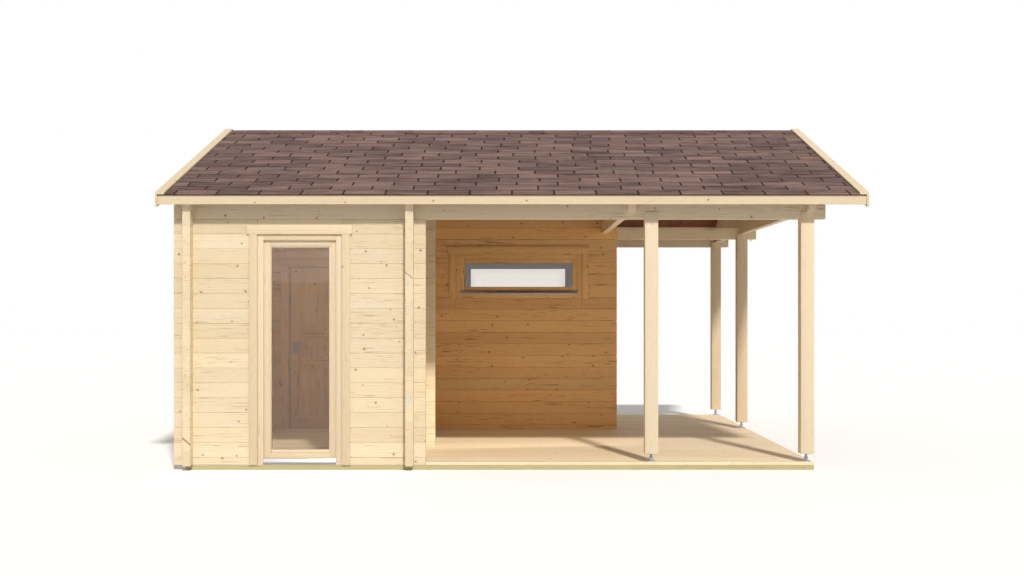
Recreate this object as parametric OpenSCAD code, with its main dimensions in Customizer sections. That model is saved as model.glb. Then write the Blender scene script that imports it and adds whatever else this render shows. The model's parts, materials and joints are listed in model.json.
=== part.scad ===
// Log-built sauna cabin with a covered L-shaped terrace under one saddle roof.
// Millimetres, Z up. The origin is on the ground, in the middle of the roof's plan.
// The front, with the glazed door and the terrace, faces -Y.

/* [Plan] */
// Length of the floor frame along the ridge, over the outer wall and the right tie beam
house_l = 5658; // [5000:10:6800]
// Depth of the floor frame, over the front and back wall faces
house_d = 5060; // [4300:10:6100]
// Clear width of the front room
front_room_w = 1918; // [1600:10:2350]
// Clear depth of the front room
front_room_d = 3090; // [2700:10:3400]
// Clear width of the back room
back_room_w = 3907; // [3500:10:4300]
// Clear gap between the two front posts
post_gap = 1282; // [900:10:1500]
// Distance from the front face to the stiffening log ends on the partition
stub_from_front = 1365; // [600:5:1800]

/* [Logs] */
// Thickness of the wall logs
log_t = 70; // [50:1:90]
// Height of one log course
course_h = 134; // [110:1:161]
// Full courses in the long walls under the eave
courses = 17; // [16:1:18]
// Length of the log ends beyond a crossing
log_end = 105; // [60:5:120]

/* [Floor] */
// Height of the bearers and joists
bearer_h = 45; // [40:1:80]
// Thickness of the floor boards
floor_t = 26; // [18:1:32]
// Widest clear gap between joists
joist_gap = 560; // [400:10:600]
// Gap around log ends that pass the terrace floor
floor_clear = 3; // [1:1:6]

/* [Roof] */
// Pitch of both slopes in degrees
pitch = 19.5; // [16:0.5:23]
// Roof beyond the left wall, over the barge board
left_over = 225; // [180:5:300]
// Roof beyond the right tie beam, over the barge board
right_over = 447; // [300:5:600]
// Eave beyond the wall face, to the front of the fascia
eave_over = 165; // [150:5:260]
// Shingles beyond the fascia
drip_over = 8; // [4:1:15]
// Thickness of the roof boards
deck_t = 20; // [16:1:26]
// Thickness of the shingle layers
shingle_t = 9; // [6:1:14]
// Half width of the ridge cap along each slope
cap_w = 140; // [100:5:200]
// Thickness of the ridge cap
cap_t = 4; // [3:1:6]
// Height of the fascia
fascia_h = 82; // [60:1:110]
// Thickness of the fascia and barge boards
trim_t = 19; // [15:1:25]
// Depth of the barge boards, square to the slope
barge_w = 108; // [90:1:140]
// Width of the flat cover boards on the verges
cover_w = 81; // [60:1:110]
// Thickness of the cover boards
cover_t = 18; // [14:1:24]
// Height of the ridge beam and purlins
purlin_h = 134; // [100:1:160]

/* [Posts] */
// Side of the square posts
post_w = 120; // [100:1:140]
// Thickness of the post's cheek outside the front and back beams
post_cheek = 10; // [6:1:20]
// Height of the adjustable post feet
foot_h = 73; // [50:1:110]
// Side of the foot's top plate
foot_top = 64; // [50:1:90]
// Side of the foot's base plate
foot_base = 80; // [70:1:100]
// Thickness of the foot's plates
foot_plate = 5; // [4:1:8]
// Radius of the foot's screw
foot_screw_r = 12; // [8:0.5:14]

/* [Glazed door] */
// Outer width of the glazed door's frame
glazed_w = 760; // [700:2:920]
// Outer height of the glazed door's frame
glazed_h = 2075; // [1950:5:2110]
// Visible face of the frame
glazed_face = 54; // [50:1:70]
// Depth of the rebate that hides the leaf's edge
glazed_rebate = 17; // [15:1:20]
// Width of the leaf's stiles and rails
glazed_stile = 63; // [55:1:80]
// Height of the leaf's bottom rail
glazed_bottom = 63; // [55:1:100]
// Thickness of the leaf
glazed_leaf_t = 50; // [44:1:52]
// Width of the casing boards
casing_w = 74; // [60:1:85]
// Height of the top casing boards
casing_top = 84; // [60:1:95]
// Thickness of the casing boards
casing_t = 18; // [14:1:24]
// Top casing beyond the side casings
casing_ear = 20; // [0:1:40]

/* [Inner door] */
// Width of the inner door's leaf
inner_w = 780; // [680:5:900]
// Height of the inner door's leaf
inner_h = 1850; // [1750:5:1950]
// Thickness of the inner door's leaf
inner_t = 40; // [36:1:44]
// Face of the inner door's frame
inner_face = 45; // [38:1:55]
// Width of the inner door's stiles
inner_stile = 119; // [90:1:130]
// Height of the inner door's rails between panels
inner_rail = 125; // [90:1:130]
// Height of the middle panel
inner_mid = 231; // [180:1:260]
// Height of the upper panel
inner_up = 555; // [500:1:600]
// Thickness of the panels
panel_t = 16; // [12:1:20]
// Distance from the left wall to the door frame
inner_from_wall = 257; // [200:1:400]

/* [Windows] */
// Outer width of the window frames
win_w = 1464; // [1200:2:1600]
// Outer height of the window frames
win_h = 517; // [440:1:560]
// Height of the window frames' underside
win_z = 1575; // [1450:1:1650]
// Visible face of the window frames
win_face = 51; // [45:1:60]
// Width of the sash
win_sash = 52; // [45:1:60]
// Width of the window casings
win_casing = 68; // [55:1:80]

/* [Ironmongery] */
// Radius of the hinge barrels
barrel_r = 8; // [7:0.5:9]
// Height of one half of a hinge barrel
barrel_h = 45; // [35:1:60]
// Radius of the hinge pins
hinge_pin_r = 4; // [3:0.5:5]
// Radius of the lever's spindle
spindle_r = 5; // [4:0.5:6]
// Length of the levers
lever_l = 125; // [100:1:140]
// Height of the lever above the floor
lever_z = 970; // [900:5:1050]
// Clear gap beside a moving leaf at its hinges
leaf_gap = 5; // [5:0.5:7]
// Clear gap beside a moving leaf at its free edge
swing_gap = 9; // [9:0.5:10]

/* [Hidden] */
$fn = 48;

past = 1;                       // how far a cutting shape runs past the piece it cuts
run_fit = 0.05;                 // radial clearance of a pin in its bore
seat_gap = 0.3;                 // gap between two faces that turn on each other
skin_gap = 0.1;                 // gap between sloping roof layers
half_course = course_h / 2;

// Plan, from left to right
roof_half_l = (left_over + house_l + right_over) / 2;
left_x = left_over - roof_half_l;            // outer face of the left wall
right_x = left_x + house_l;                  // outer face of the right tie beam
room_x = left_x + log_t;                     // inner face of the left wall
partition_x = room_x + front_room_w;
side_x = room_x + back_room_w;
gable_x = right_x - log_t;
inner_trim_x = roof_half_l - trim_t;         // inner face of the barge boards

// Plan, from front to back
front_y = -house_d / 2;
middle_y = front_y + log_t + front_room_d;
back_y = house_d / 2 - log_t;
stub_y = front_y + stub_from_front;
fascia_y = house_d / 2 + eave_over;          // front of the fascia, from the ridge
eave_y = fascia_y + drip_over;               // edge of the shingles, from the ridge

// Heights
wall_z = bearer_h;
floor_z = bearer_h + floor_t;
plate_z = wall_z + half_course + (courses - 1) * course_h;    // underside of the plates
tie_z = plate_z + half_course;                                // underside of the tie beams
tie_end_y = house_d / 2 + log_end;
// The roof's underside clears the tie beams' outer ends
ridge_z = tie_z + course_h + 1 + tie_end_y * tan(pitch) + (deck_t + shingle_t) / cos(pitch);

// Height of a plane that lies `depth` under the shingles, at `y` from the ridge
function roof_z(y, depth) = ridge_z - abs(y) * tan(pitch) - depth / cos(pitch);
under_roof = deck_t + shingle_t;

log_band = half_course;                  // height of a log's core at a crossing
first_band = wall_z + half_course / 2;   // underside of the first core along Y

// Upright outline in the XZ plane, `t` thick from y on
module along_x(y, t) translate([0, y + t, 0]) rotate([90, 0, 0]) linear_extrude(t) children();
// Upright outline in the YZ plane, `t` thick from x on
module along_y(x, t) translate([x, 0, 0]) rotate([90, 0, 90]) linear_extrude(t) children();
// Rectangle between two corners
module rect(a0, b0, a1, b1) translate([a0, b0]) square([a1 - a0, b1 - b0]);
// Box between two corners
module block(x0, y0, z0, x1, y1, z1) translate([x0, y0, z0]) cube([x1 - x0, y1 - y0, z1 - z0]);

// Notches at a crossing that starts at `a`, between two heights: from the first band up
// in steps of two bands. offset_bands is 0 where the logs along Y pass, 1 where those along X do
module notches(a, z0, z1, offset_bands) {
    for (k = [-1 : courses + 8]) {
        low = max(z0, first_band + (2 * k + offset_bands) * log_band);
        high = min(z1, first_band + (2 * k + offset_bands + 1) * log_band);
        if (high > low) rect(a, low, a + log_t, high);
    }
}
module notches_for_y_logs(x, z0 = wall_z, z1 = ridge_z) notches(x, z0, z1, 0);
module notches_for_x_logs(y, z0 = wall_z, z1 = ridge_z) notches(y, z0, z1, 1);

// Everything above the underside of the roof boards
module above_roof_boards()
    along_y(-roof_half_l - past, 2 * (roof_half_l + past))
        polygon([
            [-eave_y, roof_z(eave_y, under_roof)], [0, roof_z(0, under_roof)],
            [eave_y, roof_z(eave_y, under_roof)], [eave_y, 2 * ridge_z], [-eave_y, 2 * ridge_z],
        ]);

// Outline of a wall along Y under the roof, from y0 to y1 and from z0 up
module gable_outline(y0, y1, z0)
    polygon([
        [y0, z0], [y1, z0], [y1, roof_z(y1, under_roof)],
        if (y0 < 0 && y1 > 0) [0, roof_z(0, under_roof)],
        [y0, roof_z(y0, under_roof)],
    ]);

// Section of a purlin whose middle is at y, and the notch that lets it into a gable
function purlin_z(y) = roof_z(y, under_roof) - purlin_h;
module purlin_notch(y) rect(y - log_t / 2, purlin_z(y), y + log_t / 2, 2 * ridge_z);
module purlin_section(y)
    difference() {
        purlin_notch(y);
        polygon([
            [-eave_y, roof_z(eave_y, under_roof)], [0, roof_z(0, under_roof)],
            [eave_y, roof_z(eave_y, under_roof)], [eave_y, 3 * ridge_z], [-eave_y, 3 * ridge_z],
        ]);
    }
purlin_y = house_d / 4;
module purlin_notches() for (y = [-purlin_y, 0, purlin_y]) purlin_notch(y);

// ---- Floor

module bearers()
    color([0.76, 0.71, 0.53])
        for (y = [front_y, middle_y, back_y])
            block(left_x, y, 0, right_x, y + log_t, bearer_h);

joist_w = log_t;
joist_bays = ceil((house_l - joist_w) / (joist_gap + joist_w));
joist_step = (house_l - joist_w) / joist_bays;
module joists()
    color([0.76, 0.71, 0.53])
        for (i = [0 : joist_bays], span = [[front_y, middle_y], [middle_y, back_y]])
            block(left_x + i * joist_step, span[0] + log_t, 0,
                  left_x + i * joist_step + joist_w, span[1], bearer_h);

module room_floors()
    color([0.89, 0.79, 0.66]) {
        block(room_x, front_y + log_t, bearer_h, partition_x, middle_y, floor_z);
        block(room_x, middle_y + log_t, bearer_h, side_x, back_y, floor_z);
    }

module terrace_floor()
    color([0.90, 0.82, 0.70])
        translate([0, 0, bearer_h]) linear_extrude(floor_t)
            difference() {
                union() {
                    rect(partition_x + log_t, front_y, right_x, middle_y);
                    rect(side_x + log_t, middle_y, right_x, back_y + log_t);
                }
                for (end = [
                    [partition_x + log_t, front_y],
                    [partition_x + log_t, stub_y],
                    [side_x + log_t, middle_y],
                    [side_x + log_t, back_y],
                ])
                    rect(end[0] - past, end[1] - floor_clear,
                         end[0] + log_end + floor_clear, end[1] + log_t + floor_clear);
            }

// ---- Walls along X

glazed_x = (room_x + partition_x - glazed_w) / 2;       // left side of the glazed door's frame
glazed_top = bearer_h + glazed_h;
inner_x = room_x + inner_from_wall;                     // left side of the inner door's frame
inner_frame_w = inner_w + leaf_gap + swing_gap + 2 * inner_face;
inner_leaf_z = floor_z + leaf_gap;
inner_top = inner_leaf_z + inner_h + leaf_gap + inner_face;
win_x = (partition_x + log_t + side_x - win_w) / 2;     // left side of the window frames

module front_wall_left()
    color([0.90, 0.80, 0.64])
        along_x(front_y, log_t)
            difference() {
                rect(left_x - log_end, wall_z, glazed_x, plate_z);
                notches_for_y_logs(left_x, z1 = plate_z);
            }

module front_wall_right()
    color([0.90, 0.80, 0.64])
        along_x(front_y, log_t)
            difference() {
                rect(glazed_x + glazed_w, wall_z, partition_x + log_t + log_end, plate_z);
                notches_for_y_logs(partition_x, z1 = plate_z);
            }

module front_wall_over_door()
    color([0.90, 0.80, 0.64])
        along_x(front_y, log_t)
            rect(glazed_x, glazed_top, glazed_x + glazed_w, plate_z);

// Two bevelled logs along an eave, over the wall, the posts and the terrace.
// crossings holds the left side and the height range of each log along Y
module eave_plate(y, crossings)
    difference() {
        along_x(y, log_t)
            difference() {
                rect(left_x - log_end, plate_z, right_x + log_end, ridge_z);
                for (c = crossings) notches_for_y_logs(c[0], max(plate_z, c[1]), c[2]);
            }
        above_roof_boards();
    }

module front_plate()
    color([0.86, 0.75, 0.58])
        eave_plate(front_y, [
            [left_x, 0, ridge_z], [partition_x, 0, ridge_z],
            [side_x, tie_z, tie_z + course_h], [gable_x, tie_z, ridge_z],
        ]);

module back_plate()
    color([0.86, 0.75, 0.58])
        eave_plate(back_y, [
            [left_x, 0, ridge_z], [side_x, 0, ridge_z], [gable_x, tie_z, ridge_z],
        ]);

module inner_wall_left()
    color([0.70, 0.50, 0.28])
        difference() {
            along_x(middle_y, log_t)
                difference() {
                    rect(left_x - log_end, wall_z, inner_x, ridge_z);
                    notches_for_y_logs(left_x);
                }
            above_roof_boards();
        }

module inner_wall_over_door()
    color([0.70, 0.50, 0.28])
        difference() {
            along_x(middle_y, log_t)
                rect(inner_x, inner_top, inner_x + inner_frame_w, ridge_z);
            above_roof_boards();
        }

side_wall_front_z = roof_z(middle_y + log_t, under_roof);    // top of the side wall's crossing
module window_hole() rect(win_x, win_z, win_x + win_w, win_z + win_h);

module inner_wall_right()
    color([0.70, 0.50, 0.28])
        difference() {
            along_x(middle_y, log_t)
                difference() {
                    rect(inner_x + inner_frame_w, wall_z, side_x + log_t + log_end, ridge_z);
                    notches_for_y_logs(partition_x);
                    notches_for_y_logs(side_x, z1 = side_wall_front_z + skin_gap);
                    window_hole();
                }
            above_roof_boards();
        }

module back_wall()
    color([0.88, 0.78, 0.61])
        along_x(back_y, log_t)
            difference() {
                rect(left_x - log_end, wall_z, side_x + log_t + log_end, plate_z);
                notches_for_y_logs(left_x, z1 = plate_z);
                notches_for_y_logs(side_x, z1 = plate_z);
                window_hole();
            }

module middle_beam()
    color([0.80, 0.66, 0.45])
        along_x(middle_y, log_t)
            difference() {
                rect(side_x + log_t + log_end, plate_z, right_x + log_end, plate_z + course_h);
                notches_for_y_logs(gable_x, tie_z, plate_z + course_h);
            }

// ---- Walls along Y

module left_wall()
    color([0.89, 0.79, 0.62])
        along_y(left_x, log_t)
            difference() {
                gable_outline(-tie_end_y, tie_end_y, wall_z);
                for (y = [front_y, middle_y, back_y]) notches_for_x_logs(y);
                purlin_notches();
            }

module partition_wall()
    color([0.89, 0.79, 0.62])
        along_y(partition_x, log_t)
            difference() {
                gable_outline(-tie_end_y, middle_y + log_t, wall_z);
                for (y = [front_y, middle_y]) notches_for_x_logs(y);
                purlin_notches();
            }

module stiffening_log_ends()
    color([0.85, 0.73, 0.54])
        difference() {
            block(partition_x + log_t, stub_y, wall_z,
                  partition_x + log_t + log_end, stub_y + log_t, ridge_z);
            above_roof_boards();
        }

module side_wall()
    color([0.85, 0.73, 0.54])
        along_y(side_x, log_t)
            difference() {
                gable_outline(middle_y, tie_end_y, wall_z);
                for (y = [middle_y, back_y]) notches_for_x_logs(y);
                rect(middle_y - past, side_wall_front_z, middle_y + log_t, ridge_z);
                purlin_notches();
            }

module tie_beam()
    color([0.75, 0.55, 0.30])
        along_y(side_x, log_t)
            difference() {
                rect(-tie_end_y, tie_z, middle_y, tie_z + course_h);
                notches_for_x_logs(front_y, tie_z, tie_z + course_h);
            }

module right_gable()
    color([0.86, 0.75, 0.57])
        along_y(gable_x, log_t)
            difference() {
                gable_outline(-tie_end_y, tie_end_y, tie_z);
                notches_for_x_logs(front_y, tie_z);
                notches_for_x_logs(middle_y, tie_z, plate_z + course_h);
                notches_for_x_logs(back_y, tie_z);
                purlin_notches();
            }

// ---- Posts

post_z = floor_z + foot_h;
mid_post_x = right_x - 2 * post_w - post_gap;
// Left side, front side and the front of the beam that each post carries
post_places = [
    [mid_post_x, front_y - post_cheek, front_y],
    [right_x - post_w, front_y - post_cheek, front_y],
    [right_x - post_w, middle_y + (log_t - post_w) / 2, middle_y],
    [right_x - post_w, back_y + log_t + post_cheek - post_w, back_y],
];

module posts()
    color([0.93, 0.84, 0.68])
        for (p = post_places)
            difference() {
                block(p[0], p[1], post_z, p[0] + post_w, p[1] + post_w, tie_z);
                block(p[0] - past, p[2], plate_z, p[0] + post_w + past, p[2] + log_t, tie_z + past);
            }

module post_foot() {
    translate([-foot_base / 2, -foot_base / 2, 0]) cube([foot_base, foot_base, foot_plate]);
    cylinder(r = foot_screw_r, h = foot_h);
    cylinder(r = 1.5 * foot_screw_r, h = foot_h / 3);
    translate([-foot_top / 2, -foot_top / 2, foot_h - foot_plate])
        cube([foot_top, foot_top, foot_plate]);
}

module post_feet()
    color([0.66, 0.68, 0.70])
        for (p = post_places)
            translate([p[0] + post_w / 2, max(p[1] + post_w / 2, front_y + foot_base / 2), floor_z])
                post_foot();

// ---- Roof

// Layer of the roof between two depths under the shingles, from y0 to y1 off the ridge
module roof_layer(x0, x1, side, y0, y1, top, bottom)
    along_y(x0, x1 - x0)
        polygon([
            [side * y0, roof_z(y0, top)], [side * y1, roof_z(y1, top)],
            [side * y1, roof_z(y1, bottom)], [side * y0, roof_z(y0, bottom)],
        ]);

module ridge_beam()
    color([0.72, 0.53, 0.31])
        along_y(-inner_trim_x, 2 * inner_trim_x) purlin_section(0);

module purlins()
    color([0.72, 0.53, 0.31])
        for (y = [-purlin_y, purlin_y])
            along_y(-inner_trim_x, 2 * inner_trim_x) purlin_section(y);

module roof_boards(side)
    color([0.62, 0.43, 0.24])
        roof_layer(-inner_trim_x, inner_trim_x, side, 0, fascia_y - trim_t,
                   shingle_t + skin_gap, under_roof - skin_gap);

module shingles(side)
    color([0.47, 0.37, 0.36])
        roof_layer(-inner_trim_x, inner_trim_x, side, 0, eave_y, skin_gap, shingle_t);

module ridge_cap()
    color([0.40, 0.31, 0.30])
        along_y(cover_w - roof_half_l, 2 * (roof_half_l - cover_w))
            polygon([
                [-cap_w, roof_z(cap_w, 0)], [0, roof_z(0, 0)], [cap_w, roof_z(cap_w, 0)],
                [cap_w, roof_z(cap_w, -cap_t)], [0, roof_z(0, -cap_t)], [-cap_w, roof_z(cap_w, -cap_t)],
            ]);

module fascias()
    color([0.91, 0.83, 0.68])
        for (side = [-1, 1])
            along_y(-inner_trim_x, 2 * inner_trim_x)
                polygon([
                    [side * fascia_y, roof_z(fascia_y, shingle_t + skin_gap)],
                    [side * (fascia_y - trim_t), roof_z(fascia_y - trim_t, shingle_t + skin_gap)],
                    [side * (fascia_y - trim_t), roof_z(fascia_y, shingle_t) - fascia_h],
                    [side * fascia_y, roof_z(fascia_y, shingle_t) - fascia_h],
                ]);

module barge_boards()
    color([0.93, 0.85, 0.70])
        for (x = [-roof_half_l, inner_trim_x], side = [-1, 1])
            roof_layer(x, x + trim_t, side, seat_gap / 2, eave_y, 0, barge_w);

module cover_boards()
    color([0.95, 0.88, 0.75])
        for (x = [-roof_half_l, roof_half_l - cover_w], side = [-1, 1])
            roof_layer(x, x + cover_w, side, seat_gap / 2, eave_y, -cover_t, 0);

// ---- Glazed door, hung on the right and opening into the room

// Upright ring between an outer and an inner rectangle, on XZ
module ring(x0, z0, x1, z1, left, right, bottom, top, y, t)
    along_x(y, t)
        difference() {
            rect(x0, z0, x1, z1);
            rect(x0 + left, z0 + bottom, x1 - right, z1 - top);
        }

lip_t = log_t - glazed_leaf_t - leaf_gap;        // depth of the frame's outer lip
glazed_back = glazed_face - glazed_rebate;       // face of the frame behind the lip
glazed_leaf_y = front_y + log_t - glazed_leaf_t;
glazed_leaf_x0 = glazed_x + glazed_back + swing_gap;
glazed_leaf_x1 = glazed_x + glazed_w - glazed_back - leaf_gap;
glazed_leaf_z0 = bearer_h + glazed_back + leaf_gap;
glazed_leaf_z1 = glazed_top - glazed_back - leaf_gap;
module glazed_door_frame()
    color([0.88, 0.77, 0.58]) {
        ring(glazed_x, bearer_h, glazed_x + glazed_w, glazed_top,
             glazed_face, glazed_face, glazed_face, glazed_face, front_y, lip_t);
        ring(glazed_x, bearer_h, glazed_x + glazed_w, glazed_top,
             glazed_back, glazed_back, glazed_back, glazed_back, front_y + lip_t, log_t - lip_t);
    }

// Hinge: the lower barrel and its pin stay, the upper barrel turns with the leaf.
// The tongues reach back to the leaf and to the frame
barrel_off = barrel_r + 2;                       // pin axis from the wall face
tongue_t = 6;
module hinge_fixed(side) {
    cylinder(r = barrel_r, h = barrel_h);
    cylinder(r = hinge_pin_r, h = 2 * barrel_h - 6);
    translate([leaf_gap / 2 + 1, side > 0 ? -barrel_off : 0, 4])
        cube([tongue_t - 2, barrel_off, barrel_h - 8]);
}
module hinge_turning(side)
    difference() {
        union() {
            translate([0, 0, barrel_h + seat_gap]) cylinder(r = barrel_r, h = barrel_h);
            translate([-leaf_gap / 2 - tongue_t, side > 0 ? -barrel_off : 0, barrel_h + 4])
                cube([tongue_t, barrel_off, barrel_h - 8]);
        }
        translate([0, 0, barrel_h - past])
            cylinder(r = hinge_pin_r + run_fit, h = barrel_h - 4 + past);
    }

glazed_axis = [glazed_leaf_x1 + leaf_gap / 2, front_y + log_t + barrel_off];
glazed_hinge_z = [glazed_leaf_z0 + 180, (glazed_leaf_z0 + glazed_leaf_z1) / 2, glazed_leaf_z1 - 270];

module glazed_door_leaf()
    color([0.80, 0.64, 0.42]) {
        ring(glazed_leaf_x0, glazed_leaf_z0, glazed_leaf_x1, glazed_leaf_z1,
             glazed_stile, glazed_stile, glazed_bottom, glazed_stile, glazed_leaf_y, glazed_leaf_t);
        for (z = glazed_hinge_z)
            translate([glazed_axis[0], glazed_axis[1], z]) hinge_turning(1);
    }

pane_t = 24;
module glazed_door_pane()
    color([0.55, 0.45, 0.38, 0.5])
        block(glazed_leaf_x0 + glazed_stile, glazed_leaf_y + (glazed_leaf_t - pane_t) / 2,
              glazed_leaf_z0 + glazed_bottom,
              glazed_leaf_x1 - glazed_stile, glazed_leaf_y + (glazed_leaf_t + pane_t) / 2,
              glazed_leaf_z1 - glazed_stile);

// Rain rail on the frame's bottom member: a sloping front with a drip nose
module rail_section(y, z, h, d)
    polygon([[y, z], [y, z + h], [y - d / 3, z + h], [y - d, z + h / 4], [y - d, z]]);

glazed_rail_h = 40;
rail_d = 16;
module glazed_door_drip_rail()
    color([0.80, 0.81, 0.83])
        along_y(glazed_x + glazed_face, glazed_w - 2 * glazed_face)
            rail_section(front_y, bearer_h + 14, glazed_rail_h, rail_d);

module casing(x0, x1, z0, z1, side_w, top_h, y) {
    block(x0 - side_w, y, z0, x0, y + casing_t, z1);
    block(x1, y, z0, x1 + side_w, y + casing_t, z1);
    block(x0 - side_w - casing_ear, y, z1, x1 + side_w + casing_ear, y + casing_t, z1 + top_h);
}

inner_trim_w = 60;
trim_back = 14;                 // inside trim's set-back from the frame's opening
module glazed_door_casing()
    color([0.93, 0.84, 0.68]) {
        casing(glazed_x, glazed_x + glazed_w, bearer_h, glazed_top, casing_w, casing_top,
               front_y - casing_t);
        casing(glazed_x + glazed_back - trim_back, glazed_x + glazed_w - glazed_back + trim_back,
               floor_z, glazed_top - glazed_back + trim_back, inner_trim_w, inner_trim_w,
               front_y + log_t);
    }

handle_plate_t = 10;
module lever_outline(x, z)
    hull() {
        translate([x, z]) circle(r = 9, $fn = 32);
        translate([x + lever_l - 7, z]) circle(r = 7, $fn = 32);
    }

glazed_handle_x = glazed_leaf_x0 + glazed_stile / 2;
handle_face_y = front_y + log_t;
module glazed_door_handle()
    color([0.72, 0.73, 0.75]) {
        block(glazed_handle_x - 15, handle_face_y, floor_z + lever_z - 35,
              glazed_handle_x + 15, handle_face_y + handle_plate_t, floor_z + lever_z + 35);
        translate([glazed_handle_x, handle_face_y + handle_plate_t, floor_z + lever_z])
            rotate([-90, 0, 0]) cylinder(r = 8, h = 28);
        block(glazed_handle_x - 10, handle_face_y + handle_plate_t + 28, floor_z + lever_z - lever_l + 10,
              glazed_handle_x + 10, handle_face_y + handle_plate_t + 42, floor_z + lever_z + 10);
    }

// ---- Inner door, hung on the right and opening into the front room

inner_leaf_x0 = inner_x + inner_face + swing_gap;
inner_leaf_x1 = inner_leaf_x0 + inner_w;
inner_leaf_z1 = inner_leaf_z + inner_h;
inner_axis = [inner_leaf_x1 + leaf_gap / 2, middle_y - barrel_off];
inner_hinge_z = [inner_leaf_z + 200, inner_leaf_z1 - 290];
stop_t = 20;
inner_trim_back = 30;            // casing's overlap on the frame
inner_casing_w = 90;

module inner_door_frame()
    color([0.86, 0.75, 0.56]) {
        along_x(middle_y, log_t - stop_t)
            difference() {
                rect(inner_x, bearer_h, inner_x + inner_frame_w, inner_top);
                rect(inner_x + inner_face, floor_z, inner_x + inner_frame_w - inner_face,
                     inner_top - inner_face);
            }
        along_x(middle_y + log_t - stop_t, stop_t)
            difference() {
                rect(inner_x, bearer_h, inner_x + inner_frame_w, inner_top);
                rect(inner_x + inner_face + swing_gap + 8, floor_z,
                     inner_x + inner_frame_w - inner_face - leaf_gap - 8,
                     inner_top - inner_face - leaf_gap - 8);
            }
    }

module inner_door_casing()
    color([0.90, 0.80, 0.62])
        for (y = [middle_y - casing_t, middle_y + log_t])
            casing(inner_x + inner_trim_back, inner_x + inner_frame_w - inner_trim_back,
                   floor_z, inner_top - inner_trim_back, inner_casing_w, inner_casing_w, y);

// Panel openings of the leaf: bottom and top heights, from the top panel down
panel_z = [
    [inner_leaf_z1 - inner_stile - inner_up, inner_leaf_z1 - inner_stile],
    [inner_leaf_z1 - inner_stile - inner_up - inner_rail - inner_mid,
     inner_leaf_z1 - inner_stile - inner_up - inner_rail],
    [inner_leaf_z + inner_rail,
     inner_leaf_z1 - inner_stile - inner_up - 2 * inner_rail - inner_mid],
];
inner_handle_x = inner_leaf_x0 + 57;
inner_handle_z = floor_z + lever_z;

module spindle_bore(r)
    translate([inner_handle_x, middle_y - log_t, inner_handle_z])
        rotate([-90, 0, 0]) cylinder(r = r, h = 3 * log_t);

module inner_door_leaf()
    color([0.72, 0.50, 0.30]) {
        difference() {
            union() {
                along_x(middle_y, inner_t)
                    difference() {
                        rect(inner_leaf_x0, inner_leaf_z, inner_leaf_x1, inner_leaf_z1);
                        for (p = panel_z)
                            rect(inner_leaf_x0 + inner_stile, p[0], inner_leaf_x1 - inner_stile, p[1]);
                    }
                for (p = panel_z)
                    block(inner_leaf_x0 + inner_stile, middle_y + (inner_t - panel_t) / 2, p[0],
                          inner_leaf_x1 - inner_stile, middle_y + (inner_t + panel_t) / 2, p[1]);
            }
            spindle_bore(spindle_r + run_fit);
        }
        for (z = inner_hinge_z)
            translate([inner_axis[0], inner_axis[1], z]) hinge_turning(-1);
    }

plate_t = 8;
module inner_door_plates()
    color([0.74, 0.75, 0.77])
        difference() {
            for (y = [middle_y - plate_t, middle_y + inner_t])
                block(inner_handle_x - 27, y, inner_handle_z - 109,
                      inner_handle_x + 27, y + plate_t, inner_handle_z + 29);
            spindle_bore(spindle_r + run_fit);
        }

lever_t = 14;
neck = 26;                       // lever's clearance from the plate
module inner_door_lever()
    color([0.78, 0.79, 0.81]) {
        translate([inner_handle_x, middle_y - plate_t - neck - lever_t / 2, inner_handle_z])
            rotate([-90, 0, 0])
                cylinder(r = spindle_r, h = inner_t + 2 * (plate_t + neck) + lever_t);
        for (y = [middle_y - plate_t - neck - lever_t, middle_y + inner_t + plate_t + neck])
            along_x(y, lever_t) lever_outline(inner_handle_x, inner_handle_z);
    }

module hinge_pins()
    color([0.70, 0.71, 0.73]) {
        for (z = glazed_hinge_z)
            translate([glazed_axis[0], glazed_axis[1], z]) hinge_fixed(1);
        for (z = inner_hinge_z)
            translate([inner_axis[0], inner_axis[1], z]) hinge_fixed(-1);
    }

// ---- Windows

sash_back = 8;                   // sash behind the face of its frame
module window_frame(y) {
    ring(win_x, win_z, win_x + win_w, win_z + win_h,
         win_face, win_face, win_face, win_face, y, log_t);
    ring(win_x + win_face, win_z + win_face, win_x + win_w - win_face, win_z + win_h - win_face,
         win_sash, win_sash, win_sash, win_sash, y + sash_back, log_t - 2 * sash_back);
}

module terrace_window_frame() color([0.84, 0.72, 0.54]) window_frame(middle_y);
module back_window_frame() color([0.84, 0.72, 0.54]) window_frame(back_y);

module terrace_window_casing()
    color([0.78, 0.60, 0.37])
        casing(win_x, win_x + win_w, win_z, win_z + win_h, win_casing, casing_top,
               middle_y - casing_t);

module back_window_casing()
    color([0.92, 0.83, 0.66])
        casing(win_x, win_x + win_w, win_z, win_z + win_h, win_casing, casing_top,
               back_y + log_t);

module window_panes()
    color([0.80, 0.86, 0.90, 0.4])
        for (y = [middle_y, back_y])
            block(win_x + win_face + win_sash, y + (log_t - pane_t) / 2, win_z + win_face + win_sash,
                  win_x + win_w - win_face - win_sash, y + (log_t + pane_t) / 2,
                  win_z + win_h - win_face - win_sash);

win_rail_h = 42;
module window_drip_rails()
    color([0.60, 0.61, 0.66]) {
        along_y(win_x + win_face, win_w - 2 * win_face)
            rail_section(middle_y, win_z + win_face - 6, win_rail_h, rail_d);
        mirror([0, 1, 0])
            along_y(win_x + win_face, win_w - 2 * win_face)
                rail_section(-back_y - log_t, win_z + win_face - 6, win_rail_h, rail_d);
    }

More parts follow.
